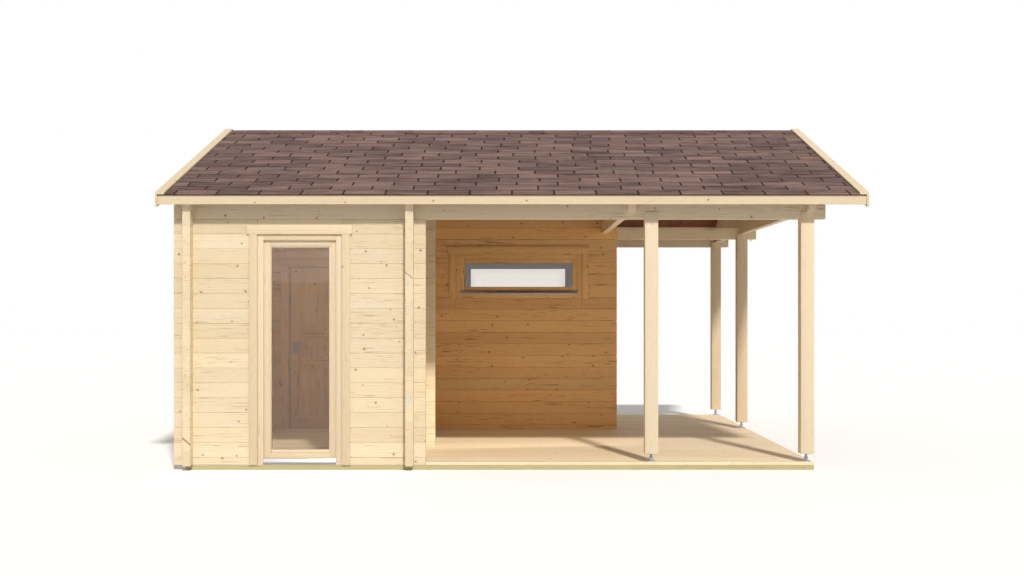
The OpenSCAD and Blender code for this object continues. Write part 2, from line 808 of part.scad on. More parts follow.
bearers();
joists();
room_floors();
terrace_floor();
front_wall_left();
front_wall_right();
front_wall_over_door();
front_plate();
left_wall();
partition_wall();
stiffening_log_ends();
inner_wall_left();
inner_wall_over_door();
inner_wall_right();
side_wall();
back_wall();
back_plate();
tie_beam();
middle_beam();
right_gable();
posts();
post_feet();
ridge_beam();
purlins();
roof_boards(-1);  // roof_boards_front
roof_boards(1);  // roof_boards_back
shingles(-1);  // shingles_front
shingles(1);  // shingles_back
ridge_cap();
fascias();
barge_boards();
cover_boards();
glazed_door_frame();
glazed_door_leaf();
glazed_door_pane();
glazed_door_drip_rail();
glazed_door_casing();
glazed_door_handle();
inner_door_frame();
inner_door_casing();
inner_door_leaf();
inner_door_plates();
inner_door_lever();
hinge_pins();
terrace_window_frame();
terrace_window_casing();
back_window_frame();
back_window_casing();
window_panes();
window_drip_rails();
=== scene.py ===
import json
import math
import random

import bpy
from mathutils import Matrix, Vector


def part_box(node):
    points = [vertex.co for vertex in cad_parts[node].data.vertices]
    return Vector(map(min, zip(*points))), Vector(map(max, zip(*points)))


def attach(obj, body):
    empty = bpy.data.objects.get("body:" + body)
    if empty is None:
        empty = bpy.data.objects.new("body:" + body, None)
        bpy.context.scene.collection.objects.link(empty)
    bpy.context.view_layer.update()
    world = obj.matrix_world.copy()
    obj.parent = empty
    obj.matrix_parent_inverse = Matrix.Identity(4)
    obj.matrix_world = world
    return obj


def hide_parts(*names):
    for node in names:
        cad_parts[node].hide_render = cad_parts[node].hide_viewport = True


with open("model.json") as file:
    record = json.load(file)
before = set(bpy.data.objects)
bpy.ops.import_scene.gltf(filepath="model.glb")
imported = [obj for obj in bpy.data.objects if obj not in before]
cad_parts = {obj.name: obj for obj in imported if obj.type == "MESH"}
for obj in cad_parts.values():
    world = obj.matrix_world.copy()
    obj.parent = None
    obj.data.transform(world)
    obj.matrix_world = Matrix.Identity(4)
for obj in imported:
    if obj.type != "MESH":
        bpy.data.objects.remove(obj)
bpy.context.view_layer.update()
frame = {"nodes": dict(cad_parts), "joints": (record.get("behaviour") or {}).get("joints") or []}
dice = random.Random(7)


# places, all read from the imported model

lo, hi = {}, {}
for nodeName in frame["nodes"]:
    lo[nodeName], hi[nodeName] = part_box(nodeName)


def islandBoxes(node):
    mesh = frame["nodes"][node].data
    home = {}

    def root(key):
        while home[key] != key:
            key = home[key]
        return key

    for face in mesh.polygons:
        keys = [tuple(round(c, 5) for c in mesh.vertices[i].co) for i in face.vertices]
        for key in keys:
            home.setdefault(key, key)
        for key in keys[1:]:
            home[root(key)] = root(keys[0])
    groups = {}
    for key in home:
        groups.setdefault(root(key), []).append(key)
    boxes = [(Vector(map(min, *keys)), Vector(map(max, *keys))) for keys in groups.values()]
    return sorted(boxes, key=lambda box: tuple(box[0]))


def heightAt(node, y, pick):
    mesh = frame["nodes"][node].data
    return pick(v.co.z for v in mesh.vertices if abs(v.co.y - y) < 0.001)


logT = hi["left_wall"].x - lo["left_wall"].x
courseH = hi["tie_beam"].z - lo["tie_beam"].z
wallZ = lo["left_wall"].z
floorZ = hi["terrace_floor"].z
plateZ = lo["front_plate"].z
frontY, middleY, backY = lo["bearers"].y, lo["inner_wall_left"].y, lo["back_wall"].y
logEnd = frontY - lo["left_wall"].y
eaveY = hi["shingles_back"].y
ridgeTop = heightAt("shingles_back", 0, max)          # top of the shingles at the ridge
slope = (ridgeTop - heightAt("shingles_back", eaveY, max)) / eaveY
pitch = math.atan(slope)
shingleT = (ridgeTop - heightAt("shingles_back", 0, min)) * math.cos(pitch)
underRoof = heightAt("roof_boards_back", 0, min)      # underside of the roof boards at the ridge
deckT = (heightAt("roof_boards_back", 0, max) - underRoof) * math.cos(pitch)
trimX = hi["roof_boards_front"].x                     # inner face of the barge boards
hinge = {joint["name"]: Vector(joint["pos_m"]) for joint in frame["joints"]}


# small helpers

def deselect():
    if bpy.context.object and bpy.context.object.mode != "OBJECT":
        bpy.ops.object.mode_set(mode="OBJECT")
    bpy.ops.object.select_all(action="DESELECT")


def makeActive(piece):
    deselect()
    piece.select_set(True)
    bpy.context.view_layer.objects.active = piece


def settle(piece):
    makeActive(piece)      # its place, turn and size go into the mesh
    bpy.ops.object.transform_apply(location=True, rotation=True, scale=True)
    return piece


def addBlock(low, high):
    deselect()
    low, high = Vector(low), Vector(high)
    bpy.ops.mesh.primitive_cube_add(size=1, location=(low + high) / 2)
    bpy.context.object.scale = high - low
    return settle(bpy.context.object)


def addRod(start, end, radius, sides=24):
    deselect()
    start, end = Vector(start), Vector(end)
    bpy.ops.mesh.primitive_cylinder_add(
        vertices=sides, radius=radius, depth=(end - start).length, location=(start + end) / 2,
        rotation=(end - start).to_track_quat("Z", "Y").to_euler())
    return settle(bpy.context.object)


def applyModifier(piece, kind, **settings):
    makeActive(piece)
    modifier = piece.modifiers.new(kind.title(), kind)
    for key, value in settings.items():
        setattr(modifier, key, value)
    bpy.ops.object.modifier_apply(modifier=modifier.name)
    return piece


def soften(piece, width=0.0015, segments=2):
    return applyModifier(piece, "BEVEL", width=width, segments=segments,
                         limit_method="ANGLE", angle_limit=0.6)


def roundOver(piece, angle=0.6):
    makeActive(piece)
    bpy.ops.object.shade_smooth_by_angle(angle=angle)
    return piece


def setTone(piece, tone):
    layer = piece.data.attributes.get("tone") or piece.data.attributes.new("tone", "FLOAT", "POINT")
    layer.data.foreach_set("value", [tone] * len(piece.data.vertices))
    return piece


def copyOf(piece, move=(0, 0, 0), stretch=(1, 1, 1)):
    twin = piece.copy()
    twin.data = piece.data.copy()
    bpy.context.scene.collection.objects.link(twin)
    twin.data.transform(Matrix.Translation(move) @ Matrix.Diagonal((*stretch, 1)))
    return twin


def remove(piece):
    bpy.data.objects.remove(piece)


def join(pieces, name):
    deselect()
    for piece in pieces:
        piece.select_set(True)
    bpy.context.view_layer.objects.active = pieces[0]
    if len(pieces) > 1:
        bpy.ops.object.join()
    joined = bpy.context.object
    joined.name = name
    joined.data.name = name
    return joined


def cutAway(piece, point, normal):
    makeActive(piece)      # what lies on the normal's side goes, and the cut is closed
    bpy.ops.object.mode_set(mode="EDIT")
    bpy.ops.mesh.select_all(action="SELECT")
    bpy.ops.mesh.bisect(plane_co=point, plane_no=normal, use_fill=True, clear_outer=True)
    bpy.ops.object.mode_set(mode="OBJECT")


def cutAtRoof(piece, height=None):
    top = underRoof if height is None else height
    for side in (-1, 1):
        cutAway(piece, (0, 0, top), (0, side * math.sin(pitch), math.cos(pitch)))


def cutOut(piece, low, high):
    cutter = addBlock(low, high)
    applyModifier(piece, "BOOLEAN", operation="DIFFERENCE", object=cutter, solver="EXACT")
    remove(cutter)


def finishPiece(piece, materials, slot, body, *nodes):
    if not isinstance(materials, (list, tuple)):
        materials = [materials]
    if len(piece.data.materials) == 0:
        for material in materials:
            piece.data.materials.append(material)
    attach(piece, body)
    if nodes:
        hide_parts(*nodes)
    return piece


# finishes

def newMaterial(name):
    material = bpy.data.materials.new(name)
    material.use_nodes = True
    nodes = material.node_tree.nodes
    return material, nodes, material.node_tree.links, nodes["Principled BSDF"]


class Wires:
    def __init__(self, nodes, links):
        self.nodes, self.links = nodes, links

    def put(self, kind, inputs=(), **settings):
        node = self.nodes.new(kind)
        for key, value in settings.items():
            setattr(node, key, value)
        for key, value in dict(inputs).items():
            if isinstance(value, bpy.types.NodeSocket):
                self.links.new(value, node.inputs[key])
            else:
                node.inputs[key].default_value = value
        return node

    def sum(self, operation, a, b=0.0, c=0.0, clamp=False):
        return self.put("ShaderNodeMath", {0: a, 1: b, 2: c}, operation=operation,
                        use_clamp=clamp).outputs[0]

    def span(self, value, low, high, toLow=0.0, toHigh=1.0, smooth=False):
        return self.put("ShaderNodeMapRange", {0: value, 1: low, 2: high, 3: toLow, 4: toHigh},
                        interpolation_type="SMOOTHSTEP" if smooth else "LINEAR").outputs[0]

    def blend(self, amount, a, b, how="MIX"):
        node = self.put("ShaderNodeMix", data_type="RGBA", blend_type=how)
        for key, value in ((0, amount), (6, a), (7, b)):
            if isinstance(value, bpy.types.NodeSocket):
                self.links.new(value, node.inputs[key])
            else:
                node.inputs[key].default_value = value
        return node.outputs[2]


def srgb(r, g, b):
    return tuple((c / 255 / 12.92 if c <= 10 else ((c / 255 + 0.055) / 1.055) ** 2.4)
                 for c in (r, g, b)) + (1,)


woodSettings = {
    "knotStep": 0.40,        # metres between knots along the grain
    "knotBand": 0.115,       # metres between knots across it
    "knotShare": 0.6,        # share of places that hold a knot
    "ringWaves": 24,         # growth rings: waves of about 13 mm
}


def woodMaterial(name, grain, pale, deep, knotShare=None, streaks=0.5, rough=0.62, toneShift=0.10):
    material, nodes, links, shader = newMaterial(name)
    w = Wires(nodes, links)
    place = w.put("ShaderNodeTexCoord").outputs["Object"]
    tone = w.put("ShaderNodeAttribute", attribute_name="tone").outputs["Fac"]
    xyz = w.put("ShaderNodeSeparateXYZ", {0: place}).outputs
    along, across, other = {"X": (xyz[0], xyz[2], xyz[1]), "Y": (xyz[1], xyz[2], xyz[0]),
                            "Z": (xyz[2], xyz[0], xyz[1])}[grain]
    along = w.sum("MULTIPLY_ADD", tone, 37.0, along)       # each board has its own grain
    across = w.sum("MULTIPLY_ADD", tone, 11.3, across)
    other = w.sum("MULTIPLY_ADD", tone, 5.7, other)
    face = w.sum("MULTIPLY_ADD", other, 0.83, across)

    knotAt = w.put("ShaderNodeCombineXYZ", {
        0: w.sum("DIVIDE", along, woodSettings["knotStep"]),
        1: w.sum("DIVIDE", face, woodSettings["knotBand"])}).outputs[0]
    cells = w.put("ShaderNodeTexVoronoi", {"Vector": knotAt, "Scale": 1.0, "Randomness": 0.9},
                  voronoi_dimensions="2D")
    away = w.put("ShaderNodeVectorMath", {0: knotAt, 1: cells.outputs["Position"]}, operation="SUBTRACT")
    metres = w.put("ShaderNodeVectorMath", {
        0: away.outputs[0], 1: (woodSettings["knotStep"], woodSettings["knotBand"], 0)},
        operation="MULTIPLY")
    distance = w.put("ShaderNodeVectorMath", {0: metres.outputs[0]}, operation="LENGTH").outputs["Value"]
    luck = w.put("ShaderNodeSeparateColor", {0: cells.outputs["Color"]}).outputs
    share = woodSettings["knotShare"] if knotShare is None else knotShare
    present = w.sum("LESS_THAN", luck[0], share)
    radius = w.span(luck[1], 0, 1, 0.003, 0.0095)
    edge = w.put("ShaderNodeTexNoise", {"Vector": place, "Scale": 140.0, "Detail": 1.0}).outputs[0]
    ragged = w.sum("MULTIPLY_ADD", edge, 0.004, distance)
    ratio = w.sum("DIVIDE", ragged, radius)
    heart = w.sum("MULTIPLY", w.span(ratio, 0.55, 1.2, 1, 0, True), present)
    halo = w.sum("MULTIPLY", w.span(ratio, 0.9, 2.6, 1, 0, True), present)

    stretched = w.put("ShaderNodeCombineXYZ", {
        0: w.sum("MULTIPLY", along, 0.07), 1: across, 2: other}).outputs[0]
    swirl = w.sum("MULTIPLY_ADD", halo, 0.010, across)
    ringPlace = w.put("ShaderNodeCombineXYZ", {
        0: w.sum("MULTIPLY", along, 0.07), 1: swirl, 2: other}).outputs[0]
    rings = w.put("ShaderNodeTexWave", {
        "Vector": ringPlace, "Scale": float(woodSettings["ringWaves"]), "Distortion": 9.0,
        "Detail": 2.0, "Detail Scale": 0.16, "Detail Roughness": 0.45},
        wave_type="BANDS", bands_direction="Y").outputs["Fac"]
    fibres = w.put("ShaderNodeTexNoise", {"Vector": stretched, "Scale": 190.0, "Detail": 3.0,
                                          "Roughness": 0.6}).outputs[0]
    cloud = w.put("ShaderNodeTexNoise", {"Vector": stretched, "Scale": 9.0, "Detail": 2.0}).outputs[0]
    tiny = w.put("ShaderNodeCombineXYZ", {
        0: w.sum("MULTIPLY", along, 4.5), 1: w.sum("MULTIPLY", across, 120.0),
        2: w.sum("MULTIPLY", other, 40.0)}).outputs[0]
    resin = w.put("ShaderNodeTexNoise", {"Vector": tiny, "Scale": 1.0, "Detail": 1.0}).outputs[0]
    resinPatch = w.span(cloud, 0.42, 0.58, 0, 1, True)
    resinMark = w.sum("MULTIPLY", w.span(resin, 0.60, 0.72, 0, streaks, True), resinPatch)

    ringAmount = w.sum("MULTIPLY", w.span(rings, 0.25, 1.0, 0, 0.55), w.span(cloud, 0.3, 0.7, 0.45, 1.0))
    grainAmount = w.sum("ADD", ringAmount, w.span(fibres, 0.35, 0.7, 0, 0.35), clamp=True)
    colour = w.blend(grainAmount, pale, deep)
    shade = w.span(w.sum("FRACT", w.sum("MULTIPLY", tone, 7.31)), 0, 1, 1 - toneShift, 1.0)
    warm = w.span(w.sum("FRACT", w.sum("MULTIPLY", tone, 3.17)), 0, 1, 0, 0.35)
    colour = w.blend(warm, colour, tuple(p * d ** 0.5 for p, d in zip(pale, deep)))
    colour = w.blend(1.0, colour, w.put("ShaderNodeCombineColor", {0: shade, 1: shade, 2: shade}).outputs[0],
                     "MULTIPLY")
    amber = tuple(c * k for c, k in zip(deep[:3], (0.75, 0.55, 0.38))) + (1,)
    colour = w.blend(w.sum("MULTIPLY", halo, 0.5), colour, amber)
    colour = w.blend(heart, colour, srgb(56, 28, 12))
    colour = w.blend(resinMark, colour, srgb(146, 92, 42))
    links.new(colour, shader.inputs["Base Color"])
    links.new(w.span(fibres, 0.3, 0.7, rough - 0.06, rough + 0.08), shader.inputs["Roughness"])
    relief = w.sum("SUBTRACT", w.sum("MULTIPLY_ADD", fibres, 0.5, rings), w.sum("MULTIPLY", heart, 1.5))
    bump = w.put("ShaderNodeBump", {"Strength": 0.16, "Distance": 0.0012, "Height": relief})
    links.new(bump.outputs[0], shader.inputs["Normal"])
    return material


finish = {
    "pale": srgb(238, 224, 196), "deep": srgb(214, 188, 146),
    # painted shade: the spruce colours made deeper and more orange, for timber that stands in shade under the
    # terrace roof and inside the rooms
    "shadePale": srgb(244, 208, 150), "shadeDeep": srgb(212, 146, 74),
    # painted shade: the same wood made dark reddish brown for the roof boards, ridge beam and purlins, which
    # are seen only from below in shade
    "roofShadePale": srgb(132, 74, 32), "roofShadeDeep": srgb(82, 38, 12),
    "deckPale": srgb(250, 232, 200), "deckDeep": srgb(232, 204, 162),
    "treatedPale": srgb(206, 194, 150), "treatedDeep": srgb(160, 150, 100),
    "trimPale": srgb(234, 218, 190), "trimDeep": srgb(214, 187, 146),
}


def woodSet(name, pale, deep, **settings):
    return {axis: woodMaterial(f"{name}Along{axis}", axis, finish[pale], finish[deep], **settings)
            for axis in "XYZ"}


spruce = woodSet("spruceLogs", "pale", "deep")
# painted shade: a deeper, more orange copy of the log wood, with stronger streaks and tone spread, for the
# terrace walls, inner door and terrace window
shadedLogWood = woodSet("terraceShadeLogs", "shadePale", "shadeDeep", streaks=0.95, toneShift=0.16)
# painted shade: a dark reddish-brown copy of the wood for the roof timbers under the roof
shadedRoofWood = woodSet("roofShadeTimber", "roofShadePale", "roofShadeDeep", toneShift=0.2)
deck = woodSet("deckBoards", "deckPale", "deckDeep", knotShare=0.25, streaks=0.15, toneShift=0.07)
treated = woodSet("treatedTimber", "treatedPale", "treatedDeep", knotShare=0.3, rough=0.75)
trim = woodSet("trimBoards", "trimPale", "trimDeep", knotShare=0.22, streaks=0.2)


def shingleMaterial(name, light, dark):
    material, nodes, links, shader = newMaterial(name)
    w = Wires(nodes, links)
    place = w.put("ShaderNodeTexCoord").outputs["Object"]
    tone = w.put("ShaderNodeAttribute", attribute_name="tone").outputs["Fac"]
    drawn = w.put("ShaderNodeVectorMath", {0: place, 1: (0.3, 2.2, 2.2)}, operation="MULTIPLY").outputs[0]
    patch = w.put("ShaderNodeTexNoise", {"Vector": drawn, "Scale": 7.0, "Detail": 3.0,
                                         "Roughness": 0.7}).outputs[0]
    grit = w.put("ShaderNodeTexNoise", {"Vector": place, "Scale": 260.0, "Detail": 2.0,
                                        "Roughness": 0.8}).outputs[0]
    grain = w.put("ShaderNodeTexVoronoi", {"Vector": place, "Scale": 420.0}).outputs["Color"]
    spread = w.sum("ADD", w.span(tone, 0, 1, -0.25, 0.25), w.span(patch, 0.32, 0.68, 0.1, 0.9), clamp=True)
    colour = w.blend(spread, dark, light)
    colour = w.blend(0.35, colour, w.blend(1.0, colour, grain, "OVERLAY"))
    colour = w.blend(w.span(grit, 0.35, 0.65, 0.35, 0), colour, tuple(c * 0.4 for c in dark[:3]) + (1,))
    links.new(colour, shader.inputs["Base Color"])
    shader.inputs["Roughness"].default_value = 0.93
    shader.inputs["Specular IOR Level"].default_value = 0.25
    bump = w.put("ShaderNodeBump", {"Strength": 0.5, "Distance": 0.0015, "Height": grit})
    links.new(bump.outputs[0], shader.inputs["Normal"])
    return material


shingleFace = shingleMaterial("shingleBlend", srgb(150, 122, 114), srgb(72, 54, 52))
# painted shade: a near-black sheet under the tabs, showing in the slots and below the tab butts as their
# shadow
shingleShadowSheet = shingleMaterial("shingleShadowBand", srgb(30, 22, 22), srgb(18, 13, 13))


def metalMaterial(name, colour, rough, spangle):
    material, nodes, links, shader = newMaterial(name)
    w = Wires(nodes, links)
    place = w.put("ShaderNodeTexCoord").outputs["Object"]
    flake = w.put("ShaderNodeTexVoronoi", {"Vector": place, "Scale": spangle}).outputs["Color"]
    brush = w.put("ShaderNodeTexNoise", {"Vector": place, "Scale": spangle * 2, "Detail": 2.0}).outputs[0]
    tint = w.blend(0.12, colour, w.blend(1.0, colour, flake, "OVERLAY"))
    links.new(tint, shader.inputs["Base Color"])
    links.new(w.span(brush, 0.3, 0.7, rough - 0.06, rough + 0.1), shader.inputs["Roughness"])
    shader.inputs["Metallic"].default_value = 1.0
    return material


galvanised = metalMaterial("galvanisedSteel", srgb(196, 200, 206), 0.42, 160.0)
aluminium = metalMaterial("railAluminium", srgb(222, 225, 230), 0.3, 900.0)
satinMetal = metalMaterial("satinDoorMetal", srgb(205, 205, 208), 0.26, 1200.0)


def glassMaterial(name, gloss):
    material, nodes, links, shader = newMaterial(name)
    shader.inputs["Specular IOR Level"].default_value = gloss
    shader.inputs["Base Color"].default_value = srgb(250, 248, 246)
    shader.inputs["Roughness"].default_value = 0.0
    shader.inputs["IOR"].default_value = 1.5
    shader.inputs["Transmission Weight"].default_value = 1.0
    w = Wires(nodes, links)
    path = w.put("ShaderNodeLightPath").outputs      # daylight passes the panes and lights the rooms
    passing = w.sum("MAXIMUM", path["Is Shadow Ray"], path["Is Diffuse Ray"])
    clear = w.put("ShaderNodeBsdfTransparent", {"Color": (0.93, 0.93, 0.93, 1)}).outputs[0]
    mixed = w.put("ShaderNodeMixShader", {0: passing, 1: shader.outputs[0], 2: clear}).outputs[0]
    links.new(mixed, nodes["Material Output"].inputs["Surface"])
    return material


clearPane = glassMaterial("clearPane", 0.5)
coatedPane = glassMaterial("coatedInnerPane", 0.0)
print("finishes ready")


# log walls: one log is modelled, and every other is a copy of it

logSettings = {
    "chamfer": 0.0055,       # long edges, so that two courses make a V joint
    "chamferSteps": 2,
}


def masterLog(axis, thickness, height, chamfer):
    piece = addBlock((0, 0, 0), (1, thickness, height) if axis == "X" else (thickness, 1, height))
    makeActive(piece)
    bpy.ops.object.mode_set(mode="EDIT")
    bpy.ops.mesh.select_all(action="DESELECT")
    bpy.ops.object.mode_set(mode="OBJECT")
    run = 0 if axis == "X" else 1
    for edge in piece.data.edges:
        a, b = (piece.data.vertices[i].co for i in edge.vertices)
        edge.select = abs(a[run] - b[run]) > 0.5
    bpy.ops.object.mode_set(mode="EDIT")
    bpy.ops.mesh.select_mode(type="EDGE")
    bpy.ops.mesh.bevel(offset=chamfer, segments=logSettings["chamferSteps"])
    bpy.ops.object.mode_set(mode="OBJECT")
    return piece


logAlong = {axis: masterLog(axis, logT, courseH, logSettings["chamfer"]) for axis in "XY"}


def layLog(axis, start, end, across, z0, z1):
    run = end - start
    tall = (z1 - z0) / courseH
    if axis == "X":
        piece = copyOf(logAlong["X"], (start, across, z0), (run, 1, tall))
    else:
        piece = copyOf(logAlong["Y"], (across, start, z0), (1, run, tall))
    return setTone(piece, dice.random())


def courses(axis, low, high):
    z = wallZ if axis == "Y" else wallZ - courseH / 2
    while z < high - 0.001:
        bottom, top = max(z, low, wallZ), min(z + courseH, high)
        if top - bottom > 0.02:
            yield bottom, top
        z += courseH


def logWall(node, axis, finishes, start, end, across, low, high, roof=False, hole=None, part=None):
    logs = []
    for z0, z1 in courses(axis, low, high):
        log = [(start, end, z0, z1)]
        if hole and hole[0].z < z1 and hole[1].z > z0:      # the log stops on both sides of the opening
            log = [(start, hole[0].x, z0, z1), (hole[1].x, end, z0, z1),
                   (hole[0].x, hole[1].x, z0, hole[0].z), (hole[0].x, hole[1].x, hole[1].z, z1)]
        tone = dice.random()
        for x0, x1, a, b in log:
            if b - a > 0.002:
                logs.append(setTone(layLog(axis, x0, x1, across, a, b), tone))
    wall = join(logs, part or node + "_logs")
    if roof:
        cutAtRoof(wall)
    return finishPiece(wall, finishes[axis], "wall_logs", "root", *([] if part else [node]))


def spanOf(node, axis):
    run = 0 if axis == "X" else 1
    return lo[node][run], hi[node][run], lo[node][1 - run]


roofHigh = underRoof + 0.01
for node in ("front_wall_left", "front_wall_right"):
    logWall(node, "X", spruce, *spanOf(node, "X"), wallZ, plateZ)
logWall("front_wall_over_door", "X", spruce, *spanOf("front_wall_over_door", "X"),
        lo["front_wall_over_door"].z, plateZ)
logWall("back_wall", "X", spruce, *spanOf("back_wall", "X"), wallZ, plateZ,
        hole=(lo["back_window_frame"], hi["back_window_frame"]))
logWall("front_plate", "X", spruce, *spanOf("front_plate", "X"), plateZ, plateZ + 2 * courseH, roof=True)
logWall("back_plate", "X", spruce, *spanOf("back_plate", "X"), plateZ, plateZ + 2 * courseH, roof=True)
# the inner wall takes the painted-shade wood, and only its log ends standing out past the left wall keep the
# plain spruce
outside = lo["left_wall"].x + 0.005
logWall("inner_wall_left", "X", shadedLogWood, outside, hi["inner_wall_left"].x, middleY, wallZ, roofHigh, roof=True)
logWall("inner_wall_left", "X", spruce, lo["inner_wall_left"].x, outside, middleY, wallZ, roofHigh,
        roof=True, part="inner_log_ends")
logWall("inner_wall_over_door", "X", shadedLogWood, *spanOf("inner_wall_over_door", "X"),
        lo["inner_wall_over_door"].z, roofHigh, roof=True)
logWall("inner_wall_right", "X", shadedLogWood, *spanOf("inner_wall_right", "X"), wallZ, roofHigh, roof=True,
        hole=(lo["terrace_window_frame"], hi["terrace_window_frame"]))
logWall("middle_beam", "X", spruce, *spanOf("middle_beam", "X"), plateZ, plateZ + courseH)
logWall("stiffening_log_ends", "X", spruce, *spanOf("stiffening_log_ends", "X"), wallZ, roofHigh, roof=True)
logWall("left_wall", "Y", spruce, *spanOf("left_wall", "Y"), wallZ, roofHigh, roof=True)
logWall("partition_wall", "Y", spruce, *spanOf("partition_wall", "Y"), wallZ, roofHigh, roof=True)
logWall("side_wall", "Y", spruce, middleY + 0.004, hi["side_wall"].y, lo["side_wall"].x, wallZ, roofHigh,
        roof=True)
logWall("tie_beam", "Y", spruce, *spanOf("tie_beam", "Y"), lo["tie_beam"].z, hi["tie_beam"].z)
logWall("right_gable", "Y", spruce, *spanOf("right_gable", "Y"), lo["right_gable"].z, roofHigh, roof=True)
print("log walls laid")


# floor frame and boards

floorSettings = {"boardW": 0.121, "gap": 0.0006, "edge": 0.0018}


def bearerPiece():
    beams = []
    for low, high in islandBoxes("bearers"):
        beams.append(setTone(soften(addBlock(low, high), 0.003), dice.random()))
    finishPiece(join(beams, "bearer_beams"), treated["X"], "treated_timber", "root", "bearers")
    frame["nodes"]["joists"].data.materials.clear()
    frame["nodes"]["joists"].data.materials.append(treated["Y"])


def boardField(x0, x1, y0, y1, z0, z1):
    count = max(1, round((y1 - y0) / floorSettings["boardW"]))
    step = (y1 - y0) / count
    master = soften(addBlock((0, 0, z0), (1, step - floorSettings["gap"], z1)), floorSettings["edge"], 1)
    boards = [setTone(copyOf(master, (x0, y0 + i * step, 0), (x1 - x0, 1, 1)), dice.random())
              for i in range(count)]
    remove(master)
    return boards


def floors():
    z0, z1 = lo["terrace_floor"].z, hi["terrace_floor"].z
    sideFace = hi["side_wall"].x
    boards = boardField(lo["terrace_floor"].x, hi["terrace_floor"].x, frontY, middleY, z0, z1)
    boards += boardField(sideFace, hi["terrace_floor"].x, middleY, hi["terrace_floor"].y, z0, z1)
    terrace = join(boards, "terrace_boards")
    clear = 0.003
    for x, y in ((hi["partition_wall"].x, frontY), (hi["partition_wall"].x, lo["stiffening_log_ends"].y),
                 (sideFace, middleY), (sideFace, backY)):
        cutOut(terrace, (x - 0.02, y - clear, z0 - 0.02), (x + logEnd + clear, y + logT + clear, z1 + 0.02))
    finishPiece(terrace, deck["X"], "floor_boards", "root", "terrace_floor")
    indoor = []
    for low, high in islandBoxes("room_floors"):
        indoor += boardField(low.x, high.x, low.y, high.y, low.z, high.z)
    finishPiece(join(indoor, "room_floor_boards"), deck["X"], "floor_boards", "root", "room_floors")


bearerPiece()
floors()
print("floors laid")


# posts and their adjustable feet

postSettings = {
    "arris": 0.004, "plateT": 0.005, "headW": 0.064,
    "screwR": 0.011, "threadR": 0.0012, "pitch": 0.004, "nutR": 0.021, "nutH": 0.012,
    "sleeveR": 0.017, "sleeveShare": 0.42,                # of the foot's height
    "boltOut": 0.028, "boltR": 0.006, "boltH": 0.004,
}


def postPieces():
    beams = {"front": frontY, "middle": middleY, "back": backY}
    made = []
    for low, high in islandBoxes("posts"):
        post = addBlock(low, high)
        middle = (low.y + high.y) / 2
        beam = min(beams.values(), key=lambda y: abs(y + logT / 2 - middle))
        soften(post, postSettings["arris"], 3)
        cutOut(post, (low.x - 0.02, beam, plateZ), (high.x + 0.02, beam + logT, high.z + 0.02))
        made.append(setTone(roundOver(post), dice.random()))
    finishPiece(join(made, "terrace_posts"), trim["Z"], "posts", "root", "posts")


def footPieces():
    s = postSettings
    parts = []
    for low, high in islandBoxes("post_feet"):
        mid = (low + high) / 2
        parts.append(soften(addBlock(low, (high.x, high.y, low.z + s["plateT"])), 0.001))
        half = s["headW"] / 2
        parts.append(soften(addBlock((mid.x - half, mid.y - half, high.z - s["plateT"]),
                                     (mid.x + half, mid.y + half, high.z)), 0.001))
        sleeveTop = low.z + (high.z - low.z) * s["sleeveShare"]
        parts.append(soften(addRod((mid.x, mid.y, low.z + s["plateT"]), (mid.x, mid.y, sleeveTop),
                                   s["sleeveR"], 32), 0.001))
        parts.append(soften(addRod((mid.x, mid.y, sleeveTop), (mid.x, mid.y, sleeveTop + s["nutH"]),
                                   s["nutR"], 6), 0.001))
        parts.append(addRod((mid.x, mid.y, sleeveTop), (mid.x, mid.y, high.z - s["plateT"]),
                            s["screwR"] - s["threadR"]))
        thread = sleeveTop + s["nutH"] + s["pitch"]
        while thread < high.z - s["plateT"] - 0.002:
            deselect()
            bpy.ops.mesh.primitive_torus_add(location=(mid.x, mid.y, thread), major_segments=24,
                                             minor_segments=6, major_radius=s["screwR"] - s["threadR"],
                                             minor_radius=s["threadR"])
            parts.append(settle(bpy.context.object))
            thread += s["pitch"]
        for dx in (-1, 1):
            for dy in (-1, 1):
                bolt = Vector((mid.x + dx * s["boltOut"], mid.y + dy * s["boltOut"], low.z + s["plateT"]))
                parts.append(addRod(bolt, bolt + Vector((0, 0, s["boltH"])), s["boltR"], 6))
    feet = roundOver(join(parts, "adjustable_feet"))
    finishPiece(feet, galvanised, "galvanised_steel", "root", "post_feet")


postPieces()
footPieces()
print("posts stand")


# roof

def slopeBoard(x0, x1, side, y0, y1, top, bottom, width=0.0015):
    far = y1 / math.cos(pitch) + 0.1
    low, high = (-0.1, far) if side > 0 else (-far, 0.1)
    piece = addBlock((x0, low, -bottom), (x1, high, -top))
    if width:
        soften(piece, width)
    piece.matrix_world = Matrix.Translation((0, 0, ridgeTop)) @ Matrix.Rotation(-side * pitch, 4, "X")
    settle(piece)
    cutAway(piece, (0, side * y0, 0), (0, -side, 0))
    cutAway(piece, (0, side * y1, 0), (0, side, 0))
    return piece


roofSettings = {
    "boardW": 0.096, "boardEdge": 0.003,
    "exposure": 0.155, "tabW": 0.375, "slot": 0.017, "tabT": 0.0032, "overlap": 0.03,
    "capExposure": 0.18,
}


def roofBoardPieces():
    s = roofSettings
    count = round(2 * trimX / s["boardW"])
    step = 2 * trimX / count
    top = (ridgeTop - underRoof) * math.cos(pitch) - deckT
    for side, node in ((-1, "roof_boards_front"), (1, "roof_boards_back")):
        outer = max(-lo[node].y, hi[node].y)
        master = slopeBoard(0, step, side, 0, outer, top, top + deckT, s["boardEdge"])
        boards = [setTone(copyOf(master, (-trimX + i * step, 0, 0)), dice.random()) for i in range(count)]
        remove(master)
        # the roof planks take the painted-shade roof wood
        finishPiece(join(boards, node.replace("roof_boards", "roof_planks")), shadedRoofWood["Y"],
                    "roof_timber", "root", node)


